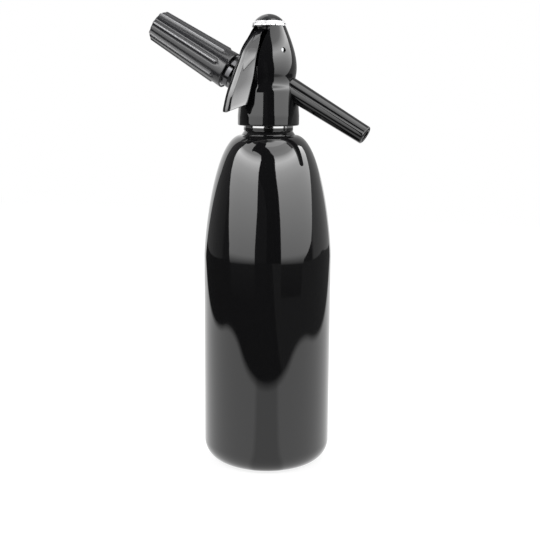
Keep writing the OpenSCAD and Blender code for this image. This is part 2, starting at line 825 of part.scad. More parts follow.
module spout_connector() {
    color("#b9bbbd")
    on_spout(connector_start + seat_gap)
    difference() {
        cylinder(r = connector_r, h = connector_end - connector_start);
        translate([0, 0, -over])
        cylinder(r = connector_r / 2, h = connector_end - connector_start + 2 * over);
        translate([0, 0, spout_seal_at - connector_start])
        rotate_extrude()
        translate([connector_r + seat_gap, 0]) circle(r = spout_seal_r, $fn = 24);
    }
}

spout_seal_r = 0.9;
spout_seal_back = 4;
spout_seal_at = connector_end - spout_seal_back;
module spout_seal() {
    color("#222222")
    on_spout(spout_seal_at + seat_gap)
    rotate_extrude()
    intersection() {
        translate([connector_r + seat_gap, 0]) circle(r = spout_seal_r - seat_gap, $fn = 24);
        translate([0, -spout_seal_r]) square([connector_r + seat_gap, 2 * spout_seal_r]);
    }
}

// Charger boss: a threaded metal nose that the holder screws onto
pocket_r = 4.8;
pin_seat_in = 1.2;
thread_out = 1.5;
cup_wall = 1.6;
cup_lead = 1;
cup_cone = 2.4;
gas_way_r = 0.9;
pin_seat = holder_start - pin_seat_in;
module charger_boss() {
    thread_low = holder_start - thread_out;
    cup_z = cartridge_start + cartridge_neck_l - cup_lead;
    cup_r = boss_thread_r - cup_wall;
    color("#c4c6c8")
    on_charger(0)
    difference() {
        rotate_extrude()
        polygon(concat(
            [[0, boss_tail], [boss_tail_r, boss_tail], [boss_tail_r, boss_neck],
             [boss_neck_r, boss_neck], [boss_neck_r, boss_flange],
             [boss_thread_r - edge, boss_flange], [boss_thread_r, boss_flange + edge],
             [boss_thread_r, thread_low]],
            ridges(boss_thread_r, thread_depth, thread_low + edge, boss_end, holder_lead),
            [[boss_thread_r - thread_depth, boss_end], [0, boss_end]]
        ));
        cylinder(r = gas_way_r, h = boss_end + over, $fn = 24);
        translate([0, 0, pin_seat]) cylinder(r = boss_tail_r, h = boss_end);
        translate([0, 0, cup_z]) cylinder(r1 = pocket_r, r2 = cup_r, h = cup_cone);
        translate([0, 0, cup_z + cup_cone - seat_gap]) cylinder(r = cup_r, h = boss_end);
        translate([0, 0, valve_seat_at]) cylinder(r = non_return_r + seat_gap, h = non_return_l);
        translate([0, 0, valve_seat_at + non_return_l - over])
        cylinder(r = piercer_r + seat_gap, h = pin_seat - valve_seat_at - non_return_l + 2 * over);
    }
}

cartridge_start = holder_start + seat_gap;
cartridge_neck_l = 8;
cartridge_neck_r = 3.9;
non_return_r = 2.6;
non_return_l = 4;
valve_seat_in = 5;
valve_seat_at = boss_flange - valve_seat_in;
piercer_r = 1.9;

module boss_seal() {
    color("#222222")
    on_charger(pin_seat)
    difference() {
        cylinder(r = boss_tail_r - seat_gap, h = cartridge_start - pin_seat - seat_gap);
        translate([0, 0, -over]) cylinder(r = piercer_r + seat_gap, h = pin_seat);
    }
}

module piercing_pin() {
    shank = pin_seat - valve_seat_at - non_return_l;
    tip_l = 1.6;
    tip_r = gas_way_r;
    color("#9b9ea2")
    on_charger(valve_seat_at + non_return_l)
    rotate_extrude()
    polygon([
        [0, 0], [piercer_r, 0], [piercer_r, shank], [tip_r, shank],
        [tip_r, shank + tip_l], [0, shank + tip_l + tip_r]
    ]);
}

module non_return_valve() {
    cup_share = 0.6;
    color("#7c2a22")
    on_charger(valve_seat_at)
    difference() {
        cylinder(r = non_return_r, h = non_return_l - seat_gap);
        translate([0, 0, -over]) cylinder(r = gas_way_r, h = non_return_l * cup_share + over, $fn = 24);
    }
}

// Charger holder
holder_root_r = holder_root_d / 2;
holder_tip_r = holder_tip_d / 2;
cartridge_r = cartridge_d / 2;
pad_t = 1;
holder_end_wall = 1.7;
cartridge_end = cartridge_start + cartridge_l;
holder_end = cartridge_end + pad_t + holder_end_wall;
holder_l = holder_end - holder_start;
liner_t = 1.2;
liner_out = 1.3;
liner_r = boss_thread_r + core_gap;
liner_l = boss_cover + liner_out;
rib_start = 7.4;

module charger_holder() {
    lean = atan((holder_root_r - holder_tip_r) / holder_l);
    end_edge = 1.6;
    rib_out = 0.3;
    bore_r = cartridge_r + free_gap;
    color("#26272a")
    on_charger(holder_start)
    difference() {
        union() {
            rotate_extrude()
            polygon(concat(
                [[0, 0], [holder_root_r - edge, 0], [holder_root_r, edge]],
                arc([holder_tip_r - end_edge, holder_l - end_edge], end_edge, lean, 90),
                [[0, holder_l]]
            ));
            intersection() {
                ribs(lean);
                cylinder(r = holder_root_d, h = holder_l - rib_out);
            }
        }
        translate([0, 0, -over]) cylinder(r = liner_r + liner_t + seat_gap, h = liner_l + seat_gap + over);
        translate([0, 0, liner_l]) cylinder(r = bore_r, h = holder_l - holder_end_wall - liner_l);
    }
}

module ribs(lean) {
    rib_r = rib_d / 2;
    for (i = [0 : rib_count - 1])
        rotate([0, 0, rib_turn + i * 360 / rib_count])
        translate([holder_root_r + rib_h - rib_r, 0, 0])
        rotate([0, -lean, 0])
        translate([0, 0, rib_start + rib_r]) {
            cylinder(r = rib_r, h = holder_l, $fn = 24);
            sphere(r = rib_r, $fn = 24);
        }
}

module holder_liner() {
    color("#c4c6c8")
    on_charger(holder_start + edge)
    difference() {
        cylinder(r = liner_r + liner_t, h = liner_l - edge);
        translate([0, 0, -over]) cylinder(r = liner_r, h = liner_l + 2 * over);
    }
}

module holder_pad() {
    color("#222222")
    on_charger(cartridge_end + seat_gap) cylinder(r = cartridge_r - free_gap, h = pad_t - seat_gap);
}

module gas_cartridge() {
    shoulder_share = 1.05;
    end_share = 0.9;
    round_share = 0.55;
    mouth_depth = 4;
    mouth_r = 1.2;
    shoulder_l = cartridge_r * shoulder_share;
    shoulder_top = cartridge_neck_l + shoulder_l;
    body_top = cartridge_l - cartridge_r * end_share;
    neck = cartridge_neck_r;
    bend = shoulder_l / 2;
    color("#b7b9ba")
    on_charger(cartridge_start)
    difference() {
        rotate_extrude()
        polygon(concat(
            [[0, 0], [neck - edge, 0], [neck, edge], [neck, cartridge_neck_l]],
            curve([neck, cartridge_neck_l], [neck, cartridge_neck_l + bend],
                  [cartridge_r, shoulder_top - bend], [cartridge_r, shoulder_top]),
            curve([cartridge_r, body_top], [cartridge_r, body_top + cartridge_r * round_share],
                  [cartridge_r * round_share, cartridge_l], [0, cartridge_l])
        ));
        translate([0, 0, -over]) cylinder(r = mouth_r, h = mouth_depth + over, $fn = 24);
    }
}

// Cap
ring_r = ring_d / 2;
dome_r = dome_d / 2;
cap_gap = 0.1;
dome_skirt = 1.6;
dome_wall = 1.1;
notch_depth = 1.1;
ring_seat_share = 0.55;
bevel_share = 0.5;
notch_h_share = 0.75;
cap_thread_r = dome_r - dome_skirt;
ring_low = crown_z + cap_gap;
ring_seat = ring_low + ring_h * ring_seat_share;
ring_top = ring_low + ring_h;
spigot_h = ring_top - crown_z - dome_wall + cap_gap;

module cap_ring() {
    bevel_z = ring_low + ring_h * bevel_share;
    color("#e6e7e8")
    difference() {
        rotate_extrude()
        polygon([
            [cap_thread_r + core_gap, ring_low], [ring_r - edge, ring_low], [ring_r, ring_low + edge],
            [ring_r - edge, bevel_z], [dome_r + edge, ring_top], [dome_r + seat_gap, ring_top],
            [dome_r + seat_gap, ring_seat], [cap_thread_r + core_gap, ring_seat]
        ]);
        for (i = [0 : notch_count - 1])
            rotate([0, 0, notch_turn + i * 360 / notch_count])
            translate([ring_r - notch_depth, -notch_w / 2, ring_low - over])
            cube([over + ring_r, notch_w, ring_h * notch_h_share + over]);
    }
}

module top_dome() {
    ball_r = (dome_r * dome_r + dome_h * dome_h) / (2 * dome_h);
    ball_z = ring_top + dome_h - ball_r;
    color("#2c2d31")
    difference() {
        intersection() {
            translate([0, 0, ball_z]) sphere(r = ball_r);
            translate([0, 0, ring_seat]) cylinder(r = dome_r, h = ring_top - ring_seat + dome_h + over);
        }
        translate([0, 0, ring_seat - over])
        cylinder(r = dome_r - dome_wall, h = ring_top - ring_seat + over);
        intersection() {
            translate([0, 0, ball_z]) sphere(r = ball_r - dome_wall);
            translate([0, 0, ring_top - seat_gap]) cylinder(r = dome_r - dome_wall, h = dome_h + over);
        }
    }
}

bottle();
neck_ring();
riser_tube();
measuring_tube();
tube_collar();
head_body();
thread_insert();
head_gasket();
valve_body();
riser_seal();
gland_nut();
stem_seal();
valve_spring();
plunger();
plunger_seal();
lever_shell();
lever_yoke();
lever_rivets();
lever_pin();
spout();
spout_connector();
spout_seal();
charger_boss();
boss_seal();
piercing_pin();
non_return_valve();
charger_holder();
holder_liner();
holder_pad();
gas_cartridge();
cap_ring();
top_dome();
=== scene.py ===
# Soda siphon, dressed: lacquered bottle, gloss head and lever, ribbed charger holder
import json
import math

import bmesh
import bpy
from mathutils import Matrix, Vector


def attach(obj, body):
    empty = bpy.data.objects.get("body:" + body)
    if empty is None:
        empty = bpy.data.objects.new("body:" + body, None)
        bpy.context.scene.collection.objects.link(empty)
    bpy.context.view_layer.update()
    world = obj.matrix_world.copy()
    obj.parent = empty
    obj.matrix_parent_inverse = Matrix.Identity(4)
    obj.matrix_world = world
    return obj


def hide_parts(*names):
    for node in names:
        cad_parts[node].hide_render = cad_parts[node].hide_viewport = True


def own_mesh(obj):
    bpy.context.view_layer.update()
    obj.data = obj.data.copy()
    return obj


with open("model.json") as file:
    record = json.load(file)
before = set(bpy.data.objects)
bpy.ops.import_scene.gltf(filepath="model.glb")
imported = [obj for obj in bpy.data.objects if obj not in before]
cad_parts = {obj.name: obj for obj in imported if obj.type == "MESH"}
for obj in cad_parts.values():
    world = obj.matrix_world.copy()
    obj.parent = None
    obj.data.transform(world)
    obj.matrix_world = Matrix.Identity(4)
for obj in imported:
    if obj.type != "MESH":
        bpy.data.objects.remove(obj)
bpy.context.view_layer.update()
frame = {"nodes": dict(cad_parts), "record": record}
nodes = frame["nodes"]
MM = 0.001


# Node helpers

def empty_material(name):
    """A node material that holds its output alone."""
    material = bpy.data.materials.new(name)
    material.use_nodes = True
    tree = material.node_tree
    tree.nodes.clear()
    return material, tree, tree.nodes.new("ShaderNodeOutputMaterial").inputs["Surface"]


def new_material(name):
    """A node material with a Principled BSDF wired to its output."""
    material, tree, surface = empty_material(name)
    shader = tree.nodes.new("ShaderNodeBsdfPrincipled")
    tree.links.new(shader.outputs[0], surface)
    return material, tree, shader


def add(tree, kind, inputs=(), **settings):
    """A node of that kind with its settings, and inputs as (socket, value or socket)."""
    node = tree.nodes.new(kind)
    for key, value in settings.items():
        setattr(node, key, value)
    for key, value in inputs:
        if isinstance(value, bpy.types.NodeSocket):
            tree.links.new(value, node.inputs[key])
        else:
            node.inputs[key].default_value = value
    return node


def maths(tree, operation, a, b=0.0, clamp=False):
    return add(tree, "ShaderNodeMath", [(0, a), (1, b)], operation=operation, use_clamp=clamp).outputs[0]


def vectors(tree, operation, a, b=(0.0, 0.0, 0.0), result="Vector"):
    return add(tree, "ShaderNodeVectorMath", [(0, a), (1, b)], operation=operation).outputs[result]


def between(tree, value, low, high, first=0.0, last=1.0):
    """Goes from first to last as the value goes from low to high, and no further."""
    return add(tree, "ShaderNodeMapRange", [
        ("Value", value), ("From Min", low), ("From Max", high), ("To Min", first), ("To Max", last),
    ]).outputs["Result"]


def blended(tree, share, first, last):
    """A colour that goes from the first to the last with that share."""
    return add(tree, "ShaderNodeMix", [
        ("Factor", share), ("A", (*first, 1.0)), ("B", (*last, 1.0)),
    ], data_type="RGBA").outputs["Result"]


def place_on(tree):
    """The place on the object, in metres."""
    return add(tree, "ShaderNodeTexCoord").outputs["Object"]


def stretched(tree, place, scale):
    return add(tree, "ShaderNodeMapping", [("Vector", place), ("Scale", scale)]).outputs[0]


def height_of(tree, place):
    return add(tree, "ShaderNodeSeparateXYZ", [(0, place)]).outputs["Z"]


def group(name, inputs, outputs):
    """A shader node group with float inputs (name, default) and outputs (name, kind)."""
    tree = bpy.data.node_groups.new(name, "ShaderNodeTree")
    for label, default in inputs:
        socket = tree.interface.new_socket(name=label, in_out="INPUT", socket_type="NodeSocketFloat")
        socket.default_value = default
    for label, kind in outputs:
        tree.interface.new_socket(name=label, in_out="OUTPUT", socket_type=kind)
    return tree, tree.nodes.new("NodeGroupInput"), tree.nodes.new("NodeGroupOutput")


def use(tree, shared, **values):
    """The shared group placed in a material with its own values."""
    node = tree.nodes.new("ShaderNodeGroup")
    node.node_tree = shared
    for key, value in values.items():
        node.inputs[key.replace("_", " ")].default_value = value
    return node


# Shared effects

PATCHES, HAIRLINES, PEEL_SCALE = 0.05, 0.03, 900.0
PEEL_DEPTH = 0.0002
COAT_ROUGHNESS = 0.02


def make_handling():
    """Fine dust, rubbed patches and hairlines on a polished skin, as a roughness and a height."""
    tree, source, sink = group(
        "handling",
        [
            ("Base Roughness", 0.1), ("Patch Amount", PATCHES), ("Hairline Amount", HAIRLINES),
            ("Peel Scale", PEEL_SCALE),
        ],
        [("Roughness", "NodeSocketFloat"), ("Height", "NodeSocketFloat")],
    )
    place = place_on(tree)
    flat = stretched(tree, place, (60.0, 60.0, 900.0))
    patches = add(tree, "ShaderNodeTexNoise", [("Vector", place), ("Scale", 38.0), ("Detail", 5.0)])
    lines = add(tree, "ShaderNodeTexNoise", [("Vector", flat), ("Scale", 4.0), ("Detail", 3.0)])
    rough = source.outputs["Base Roughness"]
    for noise, amount in ((patches, "Patch Amount"), (lines, "Hairline Amount")):
        off = maths(tree, "SUBTRACT", noise.outputs[0], 0.5)
        rough = maths(tree, "ADD", rough, maths(tree, "MULTIPLY", off, source.outputs[amount]), clamp=noise is lines)
    peel = add(tree, "ShaderNodeTexNoise", [
        ("Vector", place), ("Scale", source.outputs["Peel Scale"]), ("Detail", 1.0),
    ])
    tree.links.new(rough, sink.inputs["Roughness"])
    tree.links.new(peel.outputs[0], sink.inputs["Height"])
    return tree


handling = make_handling()


def skin_bump(tree, shader, worn, strength):
    """Slight orange peel on that shader."""
    bump = add(tree, "ShaderNodeBump", [
        ("Strength", strength), ("Distance", PEEL_DEPTH), ("Height", worn.outputs["Height"]),
    ])
    tree.links.new(bump.outputs[0], shader.inputs["Normal"])


def polished(name, colour, roughness, coat=0.0, peel=0.02, metallic=0.0):
    """A polished or lacquered skin with slight orange peel and signs of handling."""
    material, tree, shader = new_material(name)
    shader.inputs["Base Color"].default_value = (*colour, 1.0)
    shader.inputs["Metallic"].default_value = metallic
    shader.inputs["Coat Weight"].default_value = coat
    shader.inputs["Coat Roughness"].default_value = COAT_ROUGHNESS
    worn = use(tree, handling, Base_Roughness=roughness)
    tree.links.new(worn.outputs["Roughness"], shader.inputs["Roughness"])
    skin_bump(tree, shader, worn, peel)
    return material


finishes = {
    "bottle_lacquer": polished("bottle_lacquer", (0.006, 0.006, 0.0065), 0.05, coat=1.0),
    "head_black": polished("head_black", (0.006, 0.006, 0.0065), 0.06, coat=0.35),
    "lever_black": polished("lever_black", (0.008, 0.008, 0.009), 0.07, coat=1.0),
    "dome_grey": polished("dome_grey", (0.02, 0.02, 0.022), 0.1, coat=0.5),
    "pale_metal": polished("pale_metal", (0.5, 0.5, 0.51), 0.2, metallic=1.0),
    "bright_steel": polished("bright_steel", (0.5, 0.51, 0.52), 0.22, metallic=1.0),
    "brass": polished("brass", (0.62, 0.44, 0.2), 0.25, metallic=1.0),
    "seal_rubber": polished("seal_rubber", (0.02, 0.02, 0.02), 0.6, peel=0.1),
    "red_rubber": polished("red_rubber", (0.3, 0.05, 0.03), 0.5, peel=0.1),
    "white_plastic": polished("white_plastic", (0.78, 0.78, 0.76), 0.4),
    "clear_tube": polished("clear_tube", (0.7, 0.71, 0.72), 0.3),
    "dark_steel": polished("dark_steel", (0.1, 0.1, 0.105), 0.12, metallic=1.0),
}


# Height of the lower edge of the insert's painted glint band, and how soft that edge is
GLINT_BAND_Z, GLINT_BAND_BLUR = 253.3, 0.4
# The insert's painted shade below the band, and the bright metal of its painted glint band
GROOVE_SHADE, GROOVE_GLINT = (0.006, 0.006, 0.006), (0.55, 0.55, 0.55)


def make_groove_glint_and_shade():
    """Painted shade and glints on the threaded insert: near black and not metallic, with a bright turned metal band
    right under the head that catches the glints.
    """
    material, tree, shader = new_material("groove_glint_and_shade")
    place = place_on(tree)
    # Painted glint band at the top, painted shade below it
    glint_band = between(tree, height_of(tree, place), GLINT_BAND_Z * MM, (GLINT_BAND_Z + GLINT_BAND_BLUR) * MM)
    rings = stretched(tree, place, (20.0, 20.0, 6000.0))
    turned = add(tree, "ShaderNodeTexNoise", [("Vector", rings), ("Scale", 2.0)]).outputs[0]
    tree.links.new(blended(tree, glint_band, GROOVE_SHADE, GROOVE_GLINT), shader.inputs["Base Color"])
    tree.links.new(glint_band, shader.inputs["Metallic"])
    tree.links.new(maths(tree, "ADD", maths(tree, "MULTIPLY", turned, 0.06), 0.08), shader.inputs["Roughness"])
    return material


finishes["groove_glint_and_shade"] = make_groove_glint_and_shade()

# The cap ring's radius, how far in the painted shade in its notches starts and is full, and the height that they end
# at
RING_R, NOTCH_SHADE_START, NOTCH_FULL_SHADE = 12.4, 0.25, 0.45
RING_BEVEL_Z = 328.1
# The ring's own metal, and the painted shade colour inside its notches
RING_BRIGHT, RING_NOTCH_SHADE = (0.93, 0.93, 0.94), (0.03, 0.03, 0.03)


def make_chrome_ring():
    """Satin bright metal of the cap ring, with painted shade inside its notches: dark and not metallic."""
    material, tree, shader = new_material("chrome_ring")
    place = place_on(tree)
    radius = vectors(tree, "LENGTH", vectors(tree, "MULTIPLY", place, (1.0, 1.0, 0.0)), result="Value")
    # Painted shade, darker the deeper into a notch
    deep = between(tree, radius, (RING_R - NOTCH_SHADE_START) * MM, (RING_R - NOTCH_FULL_SHADE) * MM)
    low = maths(tree, "LESS_THAN", height_of(tree, place), RING_BEVEL_Z * MM)
    notch_shade = maths(tree, "MULTIPLY", deep, low)
    tree.links.new(blended(tree, notch_shade, RING_BRIGHT, RING_NOTCH_SHADE), shader.inputs["Base Color"])
    tree.links.new(maths(tree, "SUBTRACT", 1.0, notch_shade), shader.inputs["Metallic"])
    worn = use(tree, handling, Base_Roughness=0.48, Hairline_Amount=0.05)
    tree.links.new(worn.outputs["Roughness"], shader.inputs["Roughness"])
    return material


finishes["chrome_ring"] = make_chrome_ring()

# The charger holder's place: height of its axis, slope, both ends along the axis and its radius there
CHARGER_Z = 276.606
SLOPE = 30.0
HOLDER_START, HOLDER_END = 35.2, 102.95
HOLDER_ROOT_R, HOLDER_TIP_R = 13.9, 11.3
RIB_H, FLUTE_D = 0.9, 0.3
# Shares of the ribs' height and of the flutes' depth between which the crests' painted highlight and the flutes'
# dullness set in
CREST_FROM, CREST_TO = 0.55, 0.95
FLUTE_FROM, FLUTE_TO = 0.3, 0.9
HOLDER_COAT, HOLDER_COAT_ROUGHNESS, HOLDER_PEEL = 0.55, 0.12, 0.015
# The holder's own black, and the painted highlight colour of the rib crests
HOLDER_DARK, HOLDER_CREST_HIGHLIGHT = (0.018, 0.018, 0.02), (0.36, 0.36, 0.37)


def make_holder_black():
    """Satin black plastic with a painted highlight along the ribs' crests, and dull in the flutes beside them."""
    material, tree, shader = new_material("holder_black")
    place = place_on(tree)
    slope = math.radians(SLOPE)
    axis = (-math.cos(slope), 0.0, math.sin(slope))
    spot = vectors(tree, "SUBTRACT", place, (0.0, 0.0, CHARGER_Z * MM))
    far = vectors(tree, "DOT_PRODUCT", spot, axis, result="Value")
    radius = vectors(tree, "LENGTH", vectors(tree, "CROSS_PRODUCT", spot, axis), result="Value")
    skin = between(tree, far, HOLDER_START * MM, HOLDER_END * MM, HOLDER_ROOT_R * MM, HOLDER_TIP_R * MM)
    above = maths(tree, "SUBTRACT", radius, skin)
    crest = between(tree, above, RIB_H * CREST_FROM * MM, RIB_H * CREST_TO * MM)
    flute = between(tree, above, -FLUTE_D * FLUTE_FROM * MM, -FLUTE_D * FLUTE_TO * MM)
    grain = add(tree, "ShaderNodeTexNoise", [("Vector", place), ("Scale", 220.0), ("Detail", 4.0)]).outputs[0]
    # Painted highlight on the crests, made slightly uneven by a grain
    crest_highlight = maths(tree, "MULTIPLY", crest, between(tree, grain, 0.3, 0.6, 0.85, 1.0))
    tree.links.new(blended(tree, crest_highlight, HOLDER_DARK, HOLDER_CREST_HIGHLIGHT), shader.inputs["Base Color"])
    worn = use(tree, handling, Base_Roughness=0.24, Patch_Amount=0.03)
    dull = maths(tree, "ADD", worn.outputs["Roughness"], maths(tree, "MULTIPLY", flute, 0.35), clamp=True)
    tree.links.new(dull, shader.inputs["Roughness"])
    coat = maths(tree, "MULTIPLY", maths(tree, "SUBTRACT", 1.0, flute), HOLDER_COAT)
    tree.links.new(coat, shader.inputs["Coat Weight"])
    shader.inputs["Coat Roughness"].default_value = HOLDER_COAT_ROUGHNESS
    skin_bump(tree, shader, worn, HOLDER_PEEL)
    return material


finishes["holder_black"] = make_holder_black()

# The threaded insert and the boss show in narrow gaps; their dark finishes in place of their pale metal are painted
# shade there
own_finish = {"thread_insert": "groove_glint_and_shade", "charger_boss": "dark_steel"}
slots = {s["node"]: s["material_slot"] for s in frame["record"]["subparts"]}
for name, item in nodes.items():
    item.data.materials.clear()
    item.data.materials.append(finishes[own_finish.get(name, slots[name])])


# Shared shapes

def lerp(a, b, t):
    return a + (b - a) * t


def cubic(a, b, c, d, steps):
    """Points on a cubic curve through a and d, drawn towards b and c."""
    points = []
    for i in range(steps + 1):
        t = i / steps
        shares = ((1 - t) ** 3, 3 * (1 - t) ** 2 * t, 3 * (1 - t) * t * t, t ** 3)
        points.append(tuple(sum(s * p[k] for s, p in zip(shares, (a, b, c, d))) for k in (0, 1)))
    return points


def arc(centre, radius, start, end, steps):
    """Points on part of a circle, with angles in degrees."""
    angles = [math.radians(lerp(start, end, i / steps)) for i in range(steps + 1)]
    return [(centre[0] + radius * math.cos(a), centre[1] + radius * math.sin(a)) for a in angles]


def rows_between(low, high, steps, radius):
    """Points up a straight wall."""
    return [(radius, lerp(low, high, i / steps)) for i in range(steps + 1)]


def new_piece(name, points, faces, finish, sharp=35.0):
    """A piece of the object from points in millimetres, smooth up to that angle between faces."""
    mesh = bpy.data.meshes.new(name)
    mesh.from_pydata([(x * MM, y * MM, z * MM) for x, y, z in points], [], faces)
    mesh.update()
    tidy = bmesh.new()
    tidy.from_mesh(mesh)
    bmesh.ops.remove_doubles(tidy, verts=tidy.verts, dist=1e-6)
    bmesh.ops.recalc_face_normals(tidy, faces=tidy.faces)
    tidy.to_mesh(mesh)
    tidy.free()
    mesh.shade_smooth()
    mesh.set_sharp_from_angle(angle=math.radians(sharp))
    mesh.materials.append(finishes[finish])
    item = bpy.data.objects.new(name, mesh)
    bpy.context.scene.collection.objects.link(item)
    return item


def revolved(outline, segments, wave=None, closed=True):
    """Points and faces of an outline turned about z; wave(point index, angle) may move the radius."""
    points, faces = [], []
    for j in range(segments):
        angle = 2 * math.pi * j / segments
        for i, (radius, z) in enumerate(outline):
            r = radius + (wave(i, angle) if wave else 0.0)
            points.append((r * math.cos(angle), r * math.sin(angle), z))
    n = len(outline)
    for j in range(segments):
        ahead = (j + 1) % segments
        for i in range(n if closed else n - 1):
            k = (i + 1) % n
            faces.append((j * n + i, ahead * n + i, ahead * n + k, j * n + k))
    return points, faces


def placed(points, matrix):
    return [tuple(matrix @ Vector(p)) for p in points]


# Bottle

TURN_STEPS = 144
BOTTLE_R, BOTTLE_H, WALL = 47.5, 248.0, 1.6
NECK_R, NECK_BORE_R, NECK_TOP, NECK_RING_R = 16.6, 13.0, 264.0, 19.6
MOUTH_EDGE, MOUTH_INNER_EDGE = 0.4, 0.3
THREAD_DEPTH, THREAD_LEAD = 0.7, 3.0
THREAD_LOW, THREAD_HIGH, THREAD_FADE = 251.6, 262.6, 0.9
# The steeper the thread's flanks, the wider its flat crest
THREAD_FLANK = 2.2
BORE_ROWS = (258, 252)
FOOT_R = 15.5
# The shoulder's start, how far its curve is drawn up the wall, and the radius that it is drawn towards
SHOULDER_Z, SHOULDER_PULL, SHOULDER_IN = 158.0, 0.15, 0.842
# The hollow underneath, and how many degrees off the axis its outline starts
PUNT_R, PUNT_H, PUNT_START = (BOTTLE_R - FOOT_R) * 0.9, 8.0, 0.2


def bottle_side(skin):
    """The bottle's side from the foot's edge to the foot of the neck, that far inside its skin."""
    rise = BOTTLE_H - SHOULDER_Z
    foot = arc((BOTTLE_R - FOOT_R, FOOT_R), FOOT_R - skin, -90, 0, 20)
    wall = rows_between(FOOT_R, SHOULDER_Z, 24, BOTTLE_R - skin)[1:-1]
    shoulder = cubic(
        (BOTTLE_R - skin, SHOULDER_Z), (BOTTLE_R - skin, SHOULDER_Z + rise * SHOULDER_PULL),
        (BOTTLE_R * SHOULDER_IN - skin, BOTTLE_H - skin), (NECK_RING_R, BOTTLE_H - skin), 56)
    return foot + wall + shoulder


def make_bottle():
    """Bottle of one wall, with a hollow foot and a helical thread on its neck."""
    ball_r = (PUNT_R ** 2 + PUNT_H ** 2) / (2 * PUNT_H)
    tilt = math.degrees(math.asin(PUNT_R / ball_r))
    hollow = arc((0, PUNT_H - ball_r), ball_r, 90 - PUNT_START, 90 - tilt, 18)
    floor = arc((0, PUNT_H - ball_r), ball_r + WALL, 90 - PUNT_START, 90 - tilt, 18)
    inside = [p for p in bottle_side(WALL) if p[1] < BOTTLE_H - 2 * WALL]
    neck = rows_between(BOTTLE_H + 0.01, NECK_TOP - MOUTH_EDGE, 80, NECK_R - THREAD_DEPTH)
    mouth = [
        (NECK_R - THREAD_DEPTH - MOUTH_EDGE, NECK_TOP), (NECK_BORE_R + MOUTH_INNER_EDGE, NECK_TOP),
        (NECK_BORE_R, NECK_TOP - MOUTH_INNER_EDGE),
    ]
    bore = [(NECK_BORE_R, z) for z in (*BORE_ROWS, BOTTLE_H - 2 * WALL)]
    outside = bottle_side(0)
    outline = hollow + outside + neck + mouth + bore + inside[::-1] + floor[::-1]
    first = len(hollow) + len(outside)

    def thread(i, angle):
        if not first <= i < first + len(neck):
            return 0.0
        z = outline[i][1]
        ends = max(0.0, min(1.0, (z - THREAD_LOW) / THREAD_FADE, (THREAD_HIGH - z) / THREAD_FADE))
        phase = (z / THREAD_LEAD - angle / (2 * math.pi)) % 1.0
        ridge = max(0.0, min(1.0, THREAD_FLANK - 2 * THREAD_FLANK * abs(phase - 0.5)))
        return THREAD_DEPTH * ridge * ends

    item = new_piece("bottle_body", *revolved(outline, TURN_STEPS, thread), "bottle_lacquer")
    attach(item, "bottle")
    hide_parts("bottle")


make_bottle()

# Head

COLLAR_Z = 255.0
HEAD_H = 71.2
CROWN_Z = COLLAR_Z + HEAD_H
COLLAR_R, WAIST_R, BELLY_R, CROWN_R = 22.6, 19.5, 20.45, 12.2
COLLAR_EDGE = 0.8
# Heights as shares of the head's, and the shelf's radius as a share of the collar's
SIDE_AT, SHELF_AT, WAIST_AT, BELLY_AT = 0.10, 0.345, 0.45, 0.583
SHELF_SHARE = 0.942
# How far each curve of the side is drawn before it turns, as shares of its rise, from the shelf up
SHELF_PULL, WAIST_PULL, SWELL_PULL, BELLY_PULL, SIDE_PULL, CROWN_PULL = 0.4, 0.45, 0.35, 0.5, 0.32, 0.657
CROWN_IN = 0.49
# The upper shell and the skirt meet here
SKIRT_TOP = 279.0
LEVER_AZIMUTH = 235.0
PIN_Z = 309.002
PIN_R = 1.5
PIN_HALF = BELLY_R * 0.83
SLOT_W = 21.6
SLOT_FLOOR, SLOT_ROOF = 297.507, 322.001
SLOT_BACK, SLOT_STEP, SLOT_FRONT = -9.0, 4.5, 40.9
CROWN_WALL = 0.7
CAP_BORE_R, CAP_SEAT_Z = 8.8, 328.9
# Rooms cut up the axis: radius, lowest point and length
INSERT_ROOM = (18.25, 254.0, 17.8)
VALVE_FIT_R = 12.15
VALVE_ROOM = (VALVE_FIT_R, 270.8, 19.206)
GLAND_ROOM = (8.05, 289.0, 9.6)
# Radii of the seats and ways of the spout and the charger's boss
SPOUT_SEAT_R, SPOUT_WAY_R, BOSS_SEAT_R, BOSS_WAY_R = 7.95, 4.45, 8.05, 5.05
# The wider ends of the pin's hole, how far from the axis the hole is cut, and how long its ends' cuts are
PIN_ROOM, PIN_CUT, PIN_END_CUT = 0.4, 22, 20
SMALL_SIDES = 32
# A face is part of the turned skin if its middle is this near to it and it faces outward this squarely
SKIN_REACH, SKIN_FACING = 0.06, 0.97
SPOUT_Z = 291.706
SPOUT_ROOT = (VALVE_FIT_R + 0.2 + 7.9 * math.sin(math.radians(SLOPE))) / math.cos(math.radians(SLOPE))
BOSS_NECK = (VALVE_FIT_R - 0.8 + 8.0 * math.sin(math.radians(SLOPE))) / math.cos(math.radians(SLOPE))
SEAT_GAP = 0.05


